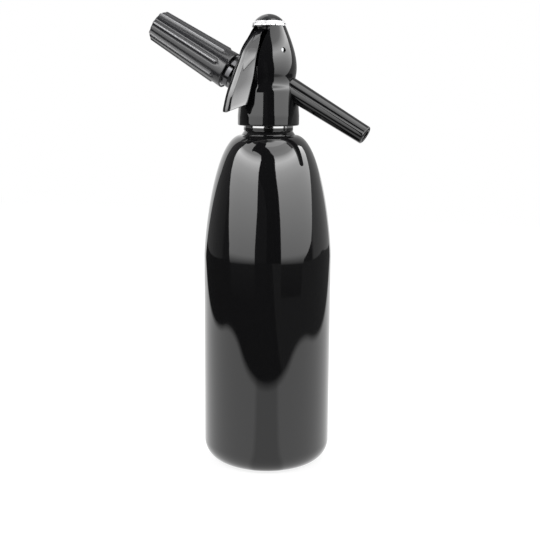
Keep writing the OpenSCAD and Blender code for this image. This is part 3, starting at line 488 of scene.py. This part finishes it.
def head_outline(steps):
    """The head's side from its collar up to the cap's thread."""
    side_z, shelf_z, waist_z, belly_z = (COLLAR_Z + HEAD_H * at for at in (SIDE_AT, SHELF_AT, WAIST_AT, BELLY_AT))
    shelf_r = COLLAR_R * SHELF_SHARE
    lean = (COLLAR_R - shelf_r) / (shelf_z - side_z)
    rise, swell, top = waist_z - shelf_z, belly_z - waist_z, CROWN_Z - belly_z
    lip = arc((COLLAR_R - COLLAR_EDGE, COLLAR_Z + COLLAR_EDGE), COLLAR_EDGE, -90, 0, 6)
    collar = rows_between(COLLAR_Z + COLLAR_EDGE, side_z, 6, COLLAR_R)[1:]
    skirt = [(lerp(COLLAR_R, shelf_r, t / 16), lerp(side_z, shelf_z, t / 16)) for t in range(1, 16)]
    shelf = cubic(
        (shelf_r, shelf_z), (shelf_r - lean * rise * SHELF_PULL, shelf_z + rise * SHELF_PULL),
        (WAIST_R, waist_z - rise * WAIST_PULL), (WAIST_R, waist_z), steps)
    belly = cubic(
        (WAIST_R, waist_z), (WAIST_R, waist_z + swell * SWELL_PULL),
        (BELLY_R, belly_z - swell * BELLY_PULL), (BELLY_R, belly_z), steps)
    crown = cubic(
        (BELLY_R, belly_z), (BELLY_R, belly_z + top * SIDE_PULL),
        (lerp(BELLY_R, CROWN_R, CROWN_IN), belly_z + top * CROWN_PULL), (CROWN_R, CROWN_Z), 2 * steps)
    return lip + collar + skirt + shelf + belly[1:] + crown[1:]


def rod(radius, length, matrix, sides=64):
    """A cutting rod that starts at the matrix's origin and runs along its z."""
    outline = [(0.0, 0.0), (radius, 0.0), (radius, length), (0.0, length)]
    points, faces = revolved(outline, sides, closed=False)
    return cutter(placed(points, matrix), faces)


def room(radius, low, length):
    return rod(radius, length, Matrix.Translation((0, 0, low)))


def cutter(points, faces):
    item = new_piece("cutter", points, faces, "pale_metal")
    item.data.materials.clear()
    return item


def cut(item, tools):
    """The piece less those shapes, which are then thrown away."""
    for tool in tools:
        step = item.modifiers.new("cut", "BOOLEAN")
        step.operation = "DIFFERENCE"
        step.solver = "EXACT"
        step.object = tool
    bpy.context.view_layer.update()
    shaped = item.evaluated_get(bpy.context.evaluated_depsgraph_get())
    mesh = bpy.data.meshes.new_from_object(shaped)
    item.modifiers.clear()
    spare = item.data
    item.data = mesh
    mesh.name = item.name
    bpy.data.meshes.remove(spare)
    for tool in tools:
        spare = tool.data
        bpy.data.objects.remove(tool)
        bpy.data.meshes.remove(spare)


def along(height, azimuth, slope, start=0.0):
    """A frame whose z leaves the head's axis at that height, bearing and slope above level."""
    turn = Matrix.Rotation(math.radians(azimuth), 4, "Z") @ Matrix.Rotation(math.radians(90 - slope), 4, "Y")
    return Matrix.Translation((0, 0, height)) @ turn @ Matrix.Translation((0, 0, start))


def smooth_skin(item, outline):
    """Gives the corners that lie on the turned skin the exact direction of that outline."""
    mesh = item.data
    steps = []
    for (r0, z0), (r1, z1) in zip(outline, outline[1:]):
        length = math.hypot(r1 - r0, z1 - z0)
        if length > 1e-6:
            steps.append((z0, z1, r0, r1, (z1 - z0) / length, -(r1 - r0) / length))
    middles = [((s[0] + s[1]) / 2, s[4], s[5]) for s in steps]
    corners = [Vector((0.0, 0.0, 0.0))] * len(mesh.loops)

    def skin_at(z):
        for z0, z1, r0, r1, out, up in steps:
            if z0 - 1e-4 <= z <= z1 + 1e-4 and z1 > z0:
                return lerp(r0, r1, (z - z0) / (z1 - z0)), out, up
        return None

    def direction(z):
        low = max((m for m in middles if m[0] <= z), default=middles[0], key=lambda m: m[0])
        high = min((m for m in middles if m[0] > z), default=middles[-1], key=lambda m: m[0])
        t = (z - low[0]) / (high[0] - low[0]) if high[0] > low[0] else 0.0
        return lerp(low[1], high[1], t), lerp(low[2], high[2], t)

    known = {}
    for face in mesh.polygons:
        centre = face.center / MM
        radius = math.hypot(centre.x, centre.y)
        found = skin_at(centre.z)
        if not found or abs(radius - found[0]) > SKIN_REACH:
            continue
        outward = Vector((centre.x / radius * found[1], centre.y / radius * found[1], found[2]))
        if face.normal.dot(outward) < SKIN_FACING:
            continue
        for loop in face.loop_indices:
            spot = mesh.vertices[mesh.loops[loop].vertex_index].co / MM
            key = round(spot.z, 4)
            if key not in known:
                known[key] = direction(spot.z)
            out, up = known[key]
            r = math.hypot(spot.x, spot.y)
            corners[loop] = Vector((spot.x / r * out, spot.y / r * out, up)).normalized()
    mesh.normals_split_custom_set(corners)


def make_head():
    """Head body, as an upper shell and a skirt: turned outside, with room for all that it takes in."""
    side = head_outline(20)
    outline = [(0.0, COLLAR_Z)] + side + [(CAP_BORE_R, CROWN_Z), (CAP_BORE_R, CAP_SEAT_Z), (0.0, CAP_SEAT_Z)]
    item = new_piece("head_casting", *revolved(outline, TURN_STEPS, closed=False), "head_black", sharp=30)
    swing = Matrix.Rotation(math.radians(LEVER_AZIMUTH), 4, "Z")
    pocket = [
        (SLOT_BACK, SLOT_FLOOR), (SLOT_FRONT, SLOT_FLOOR), (SLOT_FRONT, CROWN_Z - CROWN_WALL),
        (SLOT_STEP, CROWN_Z - CROWN_WALL), (SLOT_STEP, SLOT_ROOF), (0.0, SLOT_ROOF), (SLOT_BACK, PIN_Z),
    ]
    n = len(pocket)
    points = [(s, y, z) for y in (-SLOT_W / 2, SLOT_W / 2) for s, z in pocket]
    faces = [tuple(range(n)), tuple(range(2 * n - 1, n - 1, -1))]
    faces += [(i, (i + 1) % n, (i + 1) % n + n, i + n) for i in range(n)]
    tools = [
        room(*INSERT_ROOM),
        room(*VALVE_ROOM),
        room(*GLAND_ROOM),
        cutter(placed(points, swing), faces),
        rod(PIN_R + SEAT_GAP, 2 * PIN_CUT, along(PIN_Z, LEVER_AZIMUTH + 90, 0, -PIN_CUT), SMALL_SIDES),
        rod(PIN_R + PIN_ROOM, PIN_END_CUT, along(PIN_Z, LEVER_AZIMUTH + 90, 0, PIN_HALF), SMALL_SIDES),
        rod(PIN_R + PIN_ROOM, PIN_END_CUT, along(PIN_Z, LEVER_AZIMUTH - 90, 0, PIN_HALF), SMALL_SIDES),
        rod(SPOUT_SEAT_R, BELLY_R, along(SPOUT_Z, 0, -SLOPE, SPOUT_ROOT)),
        rod(SPOUT_WAY_R, SPOUT_ROOT + 1, along(SPOUT_Z, 0, -SLOPE), SMALL_SIDES),
        rod(BOSS_SEAT_R, BELLY_R, along(CHARGER_Z, 180, SLOPE, BOSS_NECK)),
        rod(BOSS_WAY_R, BOSS_NECK + 1, along(CHARGER_Z, 180, SLOPE), SMALL_SIDES),
    ]
    cut(item, tools)
    item.data.set_sharp_from_angle(angle=math.radians(30))
    skirt = item.copy()
    skirt.data = item.data.copy()
    skirt.name = skirt.data.name = "head_skirt"
    bpy.context.scene.collection.objects.link(skirt)
    for shell, keep_high in ((item, True), (skirt, False)):
        half = bmesh.new()
        half.from_mesh(shell.data)
        whole = half.verts[:] + half.edges[:] + half.faces[:]
        bmesh.ops.bisect_plane(
            half, geom=whole, plane_co=(0, 0, SKIRT_TOP * MM), plane_no=(0, 0, 1), clear_inner=keep_high,
            clear_outer=not keep_high)
        half.to_mesh(shell.data)
        half.free()
        smooth_skin(shell, side)
        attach(shell, "head")
        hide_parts("head_body")
    return item


head_casting = make_head()

# Lever

SPINE_W, LEVER_W, LEVER_REACH, LEVER_WALL = 9.6, 21.4, 38.9, 1.8
LEVER_LOW, LEVER_TOP = 264.703, 325.0
# By station from the tip up: the spine's reach and height, the depth, tilt and half widths as shares
REACH = [1, 0.985, 0.92, 0.815, 0.675, 0.56, 0.385, 0.225]
HEIGHT = [0.005, 0.06, 0.215, 0.39, 0.61, 0.775, 0.918, 0.985]
DEPTH = [0.372, 0.368, 0.352, 0.308, 0.224, 0.19, 0.075, 0.053]
TILT = [23, 22, 20, 20, 22, 20, 8, 0]
SPINE = [0.94, 1, 1, 1, 0.95, 0.9, 0.75, 0.6]
WIDTH = [0.93, 0.965, 1, 1, 0.965, 0.83, 0.66, 0.5]
# The nose's greatest turn, its share of the side's turn and of the spine's width, and the corner's width beside it
NOSE_TURN, NOSE_SHARE, NOSE_WIDTH, CORNER_WIDTH = 40, 0.6, 0.72, 1.06
SIDE_CROWN = 0.02
LEVER_EDGE = 0.3
# Share of the wall that is left at the rear edges, by point from the edge
THIN_EDGE = {0: 0.35, 1: 0.45, 2: 0.6, 3: 0.8}


def smooth_at(table, u):
    """Value of a table at a place between its stations, on a smooth curve through them."""
    i = min(int(u), len(table) - 2)
    t, a, b = u - i, table[i], table[i + 1]
    p = table[1] - table[0] if i == 0 else (table[i + 1] - table[i - 1]) / 2
    q = table[-1] - table[-2] if i + 1 == len(table) - 1 else (table[i + 2] - table[i]) / 2
    return (
        a * (2 * t ** 3 - 3 * t * t + 1) + b * (3 * t * t - 2 * t ** 3)
        + p * (t ** 3 - 2 * t * t + t) + q * (t ** 3 - t * t)
    )


def lever_half(depth, spine, wide):
    """Half of the blade's section as (distance behind the spine, distance from the middle plane)."""
    side = math.atan2(depth, wide - spine)
    nose_turn = min(math.radians(NOSE_TURN), side * NOSE_SHARE)
    nose_r = spine * NOSE_WIDTH / math.sin(nose_turn)
    points = [(nose_r * (1 - math.cos(a)), nose_r * math.sin(a)) for a in [nose_turn * i / 6 for i in range(7)]]
    back, out = points[-1]
    corner_r = (spine * CORNER_WIDTH - out) / (math.sin(side) - math.sin(nose_turn))
    for i in range(1, 7):
        a = lerp(nose_turn, side, i / 6)
        points.append((
            back + corner_r * (math.cos(nose_turn) - math.cos(a)),
            out + corner_r * (math.sin(a) - math.sin(nose_turn)),
        ))
    back, out = points[-1]
    run = Vector((depth - back, wide - out))
    for i in range(1, 9):
        t = i / 8
        bulge = SIDE_CROWN * run.length * 4 * t * (1 - t) * 0.5
        points.append((back + run.x * t - bulge * run.y / run.length, out + run.y * t + bulge * run.x / run.length))
    return points


def make_lever():
    """Lever blade: a channel swept along its spine, open towards the head."""
    steps = 60
    points, faces = [], []
    for i in range(steps + 1):
        u = (len(REACH) - 1) * i / steps
        reach, z = LEVER_REACH * smooth_at(REACH, u), lerp(LEVER_LOW, LEVER_TOP, smooth_at(HEIGHT, u))
        depth, tilt = LEVER_REACH * smooth_at(DEPTH, u), math.radians(smooth_at(TILT, u))
        half = lever_half(depth, SPINE_W / 2 * smooth_at(SPINE, u), LEVER_W / 2 * smooth_at(WIDTH, u))
        both = [(b, -y) for b, y in half[:0:-1]] + half
        points += [(reach - b * math.cos(tilt), y, z + b * math.sin(tilt)) for b, y in both]
    n = len(both)
    for i in range(steps):
        faces += [(i * n + k, i * n + k + 1, (i + 1) * n + k + 1, (i + 1) * n + k) for k in range(n - 1)]
    item = new_piece(
        "lever_blade", placed(points, Matrix.Rotation(math.radians(LEVER_AZIMUTH), 4, "Z")), faces, "lever_black", 60)
    wall = item.modifiers.new("wall", "SOLIDIFY")
    wall.thickness = LEVER_WALL * MM
    wall.offset = -1.0
    wall.use_even_offset = True
    shares = item.vertex_groups.new(name="wall_share")
    for i in range(steps + 1):
        for k in range(n):
            shares.add([i * n + k], THIN_EDGE.get(min(k, n - 1 - k), 1.0), "REPLACE")
    wall.vertex_group = "wall_share"
    rim = item.modifiers.new("rim", "BEVEL")
    rim.width = LEVER_EDGE * MM
    rim.segments = 3
    rim.limit_method = "ANGLE"
    rim.angle_limit = math.radians(50)
    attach(item, "lever")
    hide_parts("lever_shell")
    return item


lever_blade = make_lever()

# Spout

SPOUT_REACH = 85.4
SPOUT_L = SPOUT_REACH - SPOUT_ROOT
SPOUT_ROOT_R, SPOUT_TIP_R, SPOUT_BORE_R, SPOUT_LIP, SPOUT_MOUTH_EDGE = 7.9, 6.8, 4.0, 1.2, 0.5
TAPER_START = 4.0
CONNECTOR_L = 15.2
SPOUT_BORE_ROW = 40.0


def make_spout():
    """Spout: a slightly tapering tube with a rounded lip, and a wider bore over its connector."""
    end = SPOUT_L - SPOUT_LIP
    taper = [(lerp(SPOUT_ROOT_R, SPOUT_TIP_R, i / 16), lerp(TAPER_START, end, i / 16)) for i in range(17)]
    lip = arc((SPOUT_TIP_R - SPOUT_LIP, end), SPOUT_LIP, 0, 90, 8)[1:]
    mouth = arc((SPOUT_BORE_R + SPOUT_MOUTH_EDGE, SPOUT_L - SPOUT_MOUTH_EDGE), SPOUT_MOUTH_EDGE, 90, 180, 5)
    outline = [(SPOUT_WAY_R, 0.0), (SPOUT_ROOT_R, 0.0)] + taper + lip + mouth + [
        (SPOUT_BORE_R, SPOUT_BORE_ROW), (SPOUT_BORE_R, CONNECTOR_L), (SPOUT_WAY_R, CONNECTOR_L),
    ]
    points, faces = revolved(outline, 72)
    item = new_piece("spout_tube", placed(points, along(SPOUT_Z, 0, -SLOPE, SPOUT_ROOT)), faces, "head_black", 40)
    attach(item, "head")
    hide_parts("spout")
    return item


spout_tube = make_spout()

# Charger holder

HOLDER_L = HOLDER_END - HOLDER_START
HOLDER_END_EDGE = 1.9
HOLDER_END_WALL = 1.7
# The edge of the open end: how far in it goes at each of its rows
HOLDER_RIM = {0.0: 0.4, 0.12: 0.12}
# How many ribs, the first one's turn, their half width and start, and where the flutes beside them lie
RIBS, RIB_TURN, RIB_HALF, RIB_START = 8, 11.4, 1.7, 7.4
FLUTE_AT, FLUTE_HALF = 2.3, 0.9
# How the ribs thin out round the far edge
RIB_FADE = 0.45
HOLDER_STEPS = 256
# Rows of points along the skin below the ribs' start, the rings across its flat end, and the hole that closes it
HOLDER_LOW_ROWS, HOLDER_END_RINGS, HUB_R = [0.0, 0.12, 0.4, 1.2, 4.0, 6.6], (8.0, 4.0), 0.01
LINER_FIT_R, LINER_L = 12.8, 11.8
CARTRIDGE_FIT_R = 9.3


def make_holder():
    """Charger holder: a tapering cup with eight soft ribs that run over its rounded end."""
    low_rows = HOLDER_LOW_ROWS + [RIB_START + RIB_HALF * i / 10 for i in range(11)]
    high_end = HOLDER_L - HOLDER_END_EDGE
    rows = low_rows + [lerp(low_rows[-1], high_end, i / 24) for i in range(1, 25)]
    skin = [(lerp(HOLDER_ROOT_R, HOLDER_TIP_R, t / HOLDER_L) - HOLDER_RIM.get(t, 0.0), t, 1.0) for t in rows]
    end_r = lerp(HOLDER_ROOT_R, HOLDER_TIP_R, high_end / HOLDER_L)
    for i in range(1, 11):
        a = math.radians(9 * i)
        edge_r, edge_t = end_r - HOLDER_END_EDGE * (1 - math.cos(a)), high_end + HOLDER_END_EDGE * math.sin(a)
        skin.append((edge_r, edge_t, math.cos(a) ** RIB_FADE))
    skin += [(r, HOLDER_L, 0.0) for r in HOLDER_END_RINGS]
    inside = [
        (HUB_R, HOLDER_L - HOLDER_END_WALL), (CARTRIDGE_FIT_R, HOLDER_L - HOLDER_END_WALL),
        (CARTRIDGE_FIT_R, LINER_L), (LINER_FIT_R, LINER_L), (LINER_FIT_R, 0.0),
    ]
    shape = skin + [(HUB_R, HOLDER_L, 0.0)] + [(r, t, 0.0) for r, t in inside]

    def wave(i, angle):
        r, t, share = shape[i]
        if not share:
            return 0.0
        pitch = 2 * math.pi / RIBS
        off = (angle - math.radians(RIB_TURN) + pitch / 2) % pitch - pitch / 2
        away = math.hypot(off * r, max(0.0, RIB_START + RIB_HALF - t))
        rib = RIB_H * math.cos(math.pi / 2 * min(1.0, away / RIB_HALF)) ** 2
        flute = FLUTE_D * math.cos(math.pi / 2 * min(1.0, abs(away - FLUTE_AT) / FLUTE_HALF)) ** 2
        return share * (rib - flute)

    points, faces = revolved([(r, t) for r, t, share in shape], HOLDER_STEPS, wave)
    spot = along(CHARGER_Z, 180, SLOPE, HOLDER_START)
    item = new_piece("holder_grip", placed(points, spot), faces, "holder_black", 50)
    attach(item, "holder")
    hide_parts("charger_holder")


make_holder()


# Floor, camera and light

# The photograph's angle: bearing, distance, height, downward tilt and roll, and the lens
CAMERA_AZIMUTH = math.radians(-70)
CAMERA_AWAY, CAMERA_UP = 0.788, 0.289
CAMERA_TILT, CAMERA_ROLL = 10.25, 0.36
LENS, SENSOR, SHIFT = 70.67, 36.0, 0.0046
FLOOR_HALF = 1.4
# The lit part of the table, from the camera's side: half its length and width, where its middle lies, how round
# its corners and how soft its edge are, and how bright it is to the camera, in mirrors and under lamps
POOL_LENGTH, POOL_WIDTH = 0.85, 0.47
POOL_AHEAD, POOL_ASIDE = -0.57, -0.025
POOL_CORNER = 0.2
POOL_BLUR = 0.02
PAPER_GLOW = 0.83
PAPER_MIRRORED = 0.85
# The dark table in mirrors to the left and to the right, and the painted shadow on the floor in mirrors: a dim wedge
# in front of the object
TABLE_MIRRORED_LEFT, TABLE_MIRRORED_RIGHT = 0.015, 0.065
TABLE_STEP = 0.13
WEDGE_SLOPE, WEDGE_BLUR, SHADOW_WEDGE_SHARE = 0.32, 0.06, 0.7
PAPER_SHADE = 0.3


def camera_plane(tree, place):
    """Distances towards the camera's side and to the right of it, from a position."""
    front = (math.cos(CAMERA_AZIMUTH), math.sin(CAMERA_AZIMUTH), 0.0)
    side = (-math.sin(CAMERA_AZIMUTH), math.cos(CAMERA_AZIMUTH), 0.0)
    return [
        vectors(tree, "DOT_PRODUCT", place, way, result="Value") for way in (front, side)
    ]


def stage_floor():
    """White floor whose lit part ends in a rounded edge towards the camera, with dark table beyond it in mirrors."""
    mesh = bpy.data.meshes.new("floor")
    corners = [(x * FLOOR_HALF, y * FLOOR_HALF, 0) for x, y in ((-1, -1), (1, -1), (1, 1), (-1, 1))]
    mesh.from_pydata(corners, [], [(0, 1, 2, 3)])
    floor = bpy.data.objects.new("floor", mesh)
    bpy.context.scene.collection.objects.link(floor)
    material, tree, surface = empty_material("floor_paper")
    path = tree.nodes.new("ShaderNodeLightPath")
    ahead, aside = camera_plane(tree, place_on(tree))
    beyond = []
    for value, middle, half in ((ahead, POOL_AHEAD, POOL_LENGTH), (aside, POOL_ASIDE, POOL_WIDTH)):
        off = maths(tree, "ABSOLUTE", maths(tree, "SUBTRACT", value, middle))
        beyond.append(maths(tree, "MAXIMUM", maths(tree, "SUBTRACT", off, half - POOL_CORNER), 0.0))
    squares = [maths(tree, "MULTIPLY", b, b) for b in beyond]
    away = maths(tree, "SQRT", maths(tree, "ADD", *squares))
    slope = maths(tree, "DIVIDE", maths(tree, "ABSOLUTE", aside), maths(tree, "MAXIMUM", ahead, MM))
    # Painted shadow: in mirrors the paper is dimmer in a wedge in front of the object
    shadow_wedge = between(
        tree, slope, WEDGE_SLOPE - WEDGE_BLUR, WEDGE_SLOPE + WEDGE_BLUR, PAPER_MIRRORED * SHADOW_WEDGE_SHARE, PAPER_MIRRORED)
    table = between(tree, aside, TABLE_STEP, TABLE_STEP + POOL_BLUR, TABLE_MIRRORED_LEFT, TABLE_MIRRORED_RIGHT)
    pool = between(tree, away, POOL_CORNER - POOL_BLUR, POOL_CORNER + POOL_BLUR, shadow_wedge, table)
    seen = maths(tree, "MULTIPLY", path.outputs["Is Camera Ray"], PAPER_GLOW)
    glow = maths(tree, "ADD", seen, maths(tree, "MULTIPLY", path.outputs["Is Glossy Ray"], pool))
    lit = maths(tree, "MULTIPLY", maths(tree, "SUBTRACT", 1.0, path.outputs["Is Glossy Ray"]), PAPER_SHADE)
    paper = add(tree, "ShaderNodeBsdfDiffuse", [("Color", lit)])
    light = add(tree, "ShaderNodeEmission", [("Strength", glow)])
    both = add(tree, "ShaderNodeAddShader", [(0, paper.outputs[0]), (1, light.outputs[0])])
    tree.links.new(both.outputs[0], surface)
    mesh.materials.append(material)


stage_floor()

camera_data = bpy.data.cameras.new("camera")
camera_data.lens = LENS
camera_data.sensor_width = SENSOR
camera_data.shift_x = SHIFT
camera = bpy.data.objects.new("camera", camera_data)
bpy.context.scene.collection.objects.link(camera)
camera.location = (CAMERA_AWAY * math.cos(CAMERA_AZIMUTH), CAMERA_AWAY * math.sin(CAMERA_AZIMUTH), CAMERA_UP)
look = (
    Matrix.Rotation(CAMERA_AZIMUTH + math.pi / 2, 4, "Z") @ Matrix.Rotation(math.radians(90 - CAMERA_TILT), 4, "X")
    @ Matrix.Rotation(math.radians(CAMERA_ROLL), 4, "Z")
)
camera.matrix_world = Matrix.Translation(camera.location) @ look
bpy.context.scene.camera = camera


# Each lamp's bearing and height in degrees, its width and height in metres, and its power in watts
LAMPS = {
    "left_lamp": (230, 35, 0.5, 0.8, 8), "right_lamp": (340, 35, 0.5, 0.8, 8), "top_lamp": (100, 70, 0.8, 0.8, 6),
}
LAMP_AWAY = 1.2
MIDDLE_Z = 0.17


def lamp(name, azimuth, elevation, width, height, power):
    """An area lamp that faces the middle of the object and shows in no reflection."""
    data = bpy.data.lights.new(name, "AREA")
    data.shape = "RECTANGLE"
    data.size = width
    data.size_y = height
    data.energy = power
    item = bpy.data.objects.new(name, data)
    bpy.context.scene.collection.objects.link(item)
    a, e = math.radians(azimuth), math.radians(elevation)
    back = Vector((math.cos(a) * math.cos(e), math.sin(a) * math.cos(e), math.sin(e)))
    item.location = Vector((0, 0, MIDDLE_Z)) + back * LAMP_AWAY
    item.rotation_mode = "QUATERNION"
    item.rotation_quaternion = back.to_track_quat("Z", "Y")
    item.visible_camera = False
    item.visible_glossy = False


for name, values in LAMPS.items():
    lamp(name, *values)

# Two tall soft windows that only reflections see, on a drum round the object. Bearings are in degrees from the
# camera's side. Each row is (height, inner edge, outer edge); brightness goes by height in metres
DRUM_R = 0.55
WINDOW_COLUMNS = 16
RIGHT_WINDOW = [
    (0.03, 23, 60), (0.12, 23, 66), (0.17, 23, 83), (0.27, 22.5, 95), (0.36, 21, 108), (0.46, 18, 118),
    (0.55, 17, 121), (0.66, 18, 112), (0.75, 16, 84), (0.86, 8, 84), (1.0, 3, 86), (1.3, -12, 95),
]
LEFT_WINDOW = [
    (0.03, -48, -66), (0.17, -48, -71), (0.28, -48, -80), (0.33, -48, -86), (0.4, -48, -92.5), (0.5, -50, -97),
    (0.6, -50, -98), (0.78, -50, -95), (0.84, -56, -97), (1.1, -58, -100), (1.3, -60, -96),
]
# Dim glows behind the object that edge the bottle and stay off the lever
LEFT_GLOW = [(0.03, -150, -177), (0.3, -128, -177), (1.3, -128, -177)]
RIGHT_GLOW = [(0.03, 150, 177), (0.22, 150, 177)]
GLOW_BRIGHTNESS = [(0.03, 0.75), (1.3, 0.95)]
# The parts of the left window that the lever's housing keeps from the head, the lower one from the lever too
SHADED_LOW = [(0.03, -22, -48), (0.17, -22, -48), (0.3, -20, -48), (0.4, -21, -48), (0.5, -22, -50)]
SHADED_HIGH = [(0.5, -22, -50), (0.66, -19, -50), (0.76, -22, -50), (0.83, -45, -50)]
# Cards in the gap between the windows: the low one lights the lever's side and the spout, the high one the lever
LOW_CARD = [(0.10, -2, 22), (0.3, -2, 22), (0.38, -8, 19), (0.46, -20.5, 17), (0.62, -19, 16.5)]
HIGH_CARD = [
    (0.62, -19, 16.5), (0.66, -18, 16.5), (0.75, -21, 15), (0.82, -43, 11), (0.84, -55, 8.5), (1.0, -56, 2),
    (1.3, -58, -13), (2.2, -80, -13),
]
WINDOW_BRIGHTNESS = [
    (0.03, 0.02), (0.08, 0.05), (0.117, 0.65), (0.145, 1.4), (0.2, 1.6), (0.3, 2.1), (0.4, 2.7), (0.5, 3.7),
    (0.6, 5.6), (0.66, 4.4), (0.74, 2.2), (0.9, 1.9), (1.3, 2.0),
]
CARD_BRIGHTNESS = [(0.1, 7.6), (0.28, 7.0), (0.4, 4.8), (0.5, 2.8), (0.75, 1.7), (1.3, 1.5), (2.2, 1.4)]
# The room behind the windows by bearing, and the ceiling by height in degrees
ROOM_BRIGHTNESS = [
    (-180, 0.35), (-170, 0.12), (-121, 0.12), (-91, 0.08), (-86, 0.03), (86, 0.03), (92, 0.25), (180, 0.35),
]
CEILING_BRIGHTNESS = [(-90, 0), (58, 0), (62, 2.7), (78, 2.7), (85, 0.3), (90, 0.3)]
CEILING_SHARE = [(-180, 0.03), (-18, 0.03), (-15, 1), (105, 1), (122, 0.4), (136, 0.03), (180, 0.03)]
# The greatest value that a ramp holds, and the level of the room's diffuse light
BRIGHTEST = 8.0
DIFFUSE_LEVEL = 0.45


def ramp(tree, value, stops):
    """Values of a table along that input, read through a colour ramp."""
    low, high = stops[0][0], stops[-1][0]
    node = add(tree, "ShaderNodeValToRGB", [(0, between(tree, value, low, high))])
    spots = node.color_ramp.elements
    while len(spots) < len(stops):
        spots.new(1.0)
    for spot, (at, level) in zip(spots, stops):
        grey = level / BRIGHTEST
        spot.position = (at - low) / (high - low)
        spot.color = (grey, grey, grey, 1.0)
    return maths(tree, "MULTIPLY", node.outputs["Color"], BRIGHTEST)


def window(name, rows, brightness=WINDOW_BRIGHTNESS):
    """A soft window on the drum between its inner and outer bearings, seen in reflections alone."""
    n = WINDOW_COLUMNS + 1
    points, faces = [], []
    for z, inner, outer in rows:
        for i in range(n):
            angle = CAMERA_AZIMUTH + math.radians(lerp(inner, outer, i / WINDOW_COLUMNS))
            points.append((DRUM_R * math.cos(angle), DRUM_R * math.sin(angle), z))
    for j in range(len(rows) - 1):
        faces += [(j * n + i, j * n + i + 1, (j + 1) * n + i + 1, (j + 1) * n + i) for i in range(WINDOW_COLUMNS)]
    mesh = bpy.data.meshes.new(name)
    mesh.from_pydata(points, [], faces)
    item = bpy.data.objects.new(name, mesh)
    bpy.context.scene.collection.objects.link(item)
    material, tree, surface = empty_material(name)
    light = add(tree, "ShaderNodeEmission", [("Strength", ramp(tree, height_of(tree, place_on(tree)), brightness))])
    tree.links.new(light.outputs[0], surface)
    mesh.materials.append(material)
    item.visible_camera = False
    item.visible_diffuse = False
    item.visible_transmission = False
    item.visible_shadow = False
    return item


def aim(lamp_item, pieces, state):
    """Lets a window light those pieces alone, or every piece but those."""
    lit = bpy.data.collections.new(lamp_item.name + "_lights")
    lamp_item.light_linking.receiver_collection = lit
    for piece in pieces:
        lit.objects.link(piece)
    for entry in lit.collection_objects:
        entry.light_linking.link_state = state


def studio():
    """White for the camera, plain for diffuse light, and a dim room in reflections."""
    world = bpy.data.worlds.new("studio")
    world.use_nodes = True
    tree = world.node_tree
    tree.nodes.clear()
    path = tree.nodes.new("ShaderNodeLightPath")
    way = add(tree, "ShaderNodeTexCoord").outputs["Generated"]
    ahead, aside = camera_plane(tree, way)
    bearing = maths(tree, "DEGREES", maths(tree, "ARCTAN2", aside, ahead))
    height = maths(tree, "DEGREES", maths(tree, "ARCSINE", height_of(tree, way)))
    ceiling = maths(tree, "MULTIPLY", ramp(tree, height, CEILING_BRIGHTNESS), ramp(tree, bearing, CEILING_SHARE))
    mirrored = maths(tree, "ADD", ramp(tree, bearing, ROOM_BRIGHTNESS), ceiling)
    plain = maths(tree, "MULTIPLY", maths(tree, "SUBTRACT", 1.0, path.outputs["Is Glossy Ray"]), DIFFUSE_LEVEL)
    level = maths(tree, "ADD", maths(tree, "MULTIPLY", mirrored, path.outputs["Is Glossy Ray"]), plain)
    seen = maths(tree, "MAXIMUM", level, path.outputs["Is Camera Ray"])
    room = add(tree, "ShaderNodeBackground", [("Color", (1.0, 1.0, 1.0, 1.0)), ("Strength", seen)])
    out = tree.nodes.new("ShaderNodeOutputWorld")
    tree.links.new(room.outputs[0], out.inputs["Surface"])
    bpy.context.scene.world = world


window("right_window", RIGHT_WINDOW)
window("left_window", LEFT_WINDOW)
aim(window("shaded_low", SHADED_LOW), [head_casting, lever_blade], "EXCLUDE")
aim(window("shaded_high", SHADED_HIGH), [head_casting], "EXCLUDE")
aim(window("low_card", LOW_CARD, CARD_BRIGHTNESS), [lever_blade, spout_tube], "INCLUDE")
aim(window("high_card", HIGH_CARD, CARD_BRIGHTNESS), [lever_blade], "INCLUDE")
aim(window("left_glow", LEFT_GLOW, GLOW_BRIGHTNESS), [lever_blade], "EXCLUDE")
aim(window("right_glow", RIGHT_GLOW, GLOW_BRIGHTNESS), [lever_blade], "EXCLUDE")
studio()
bpy.context.scene.view_settings.view_transform = "Standard"

# The valve spring gets a mesh of its own
spring = nodes["valve_spring"]
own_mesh(spring)
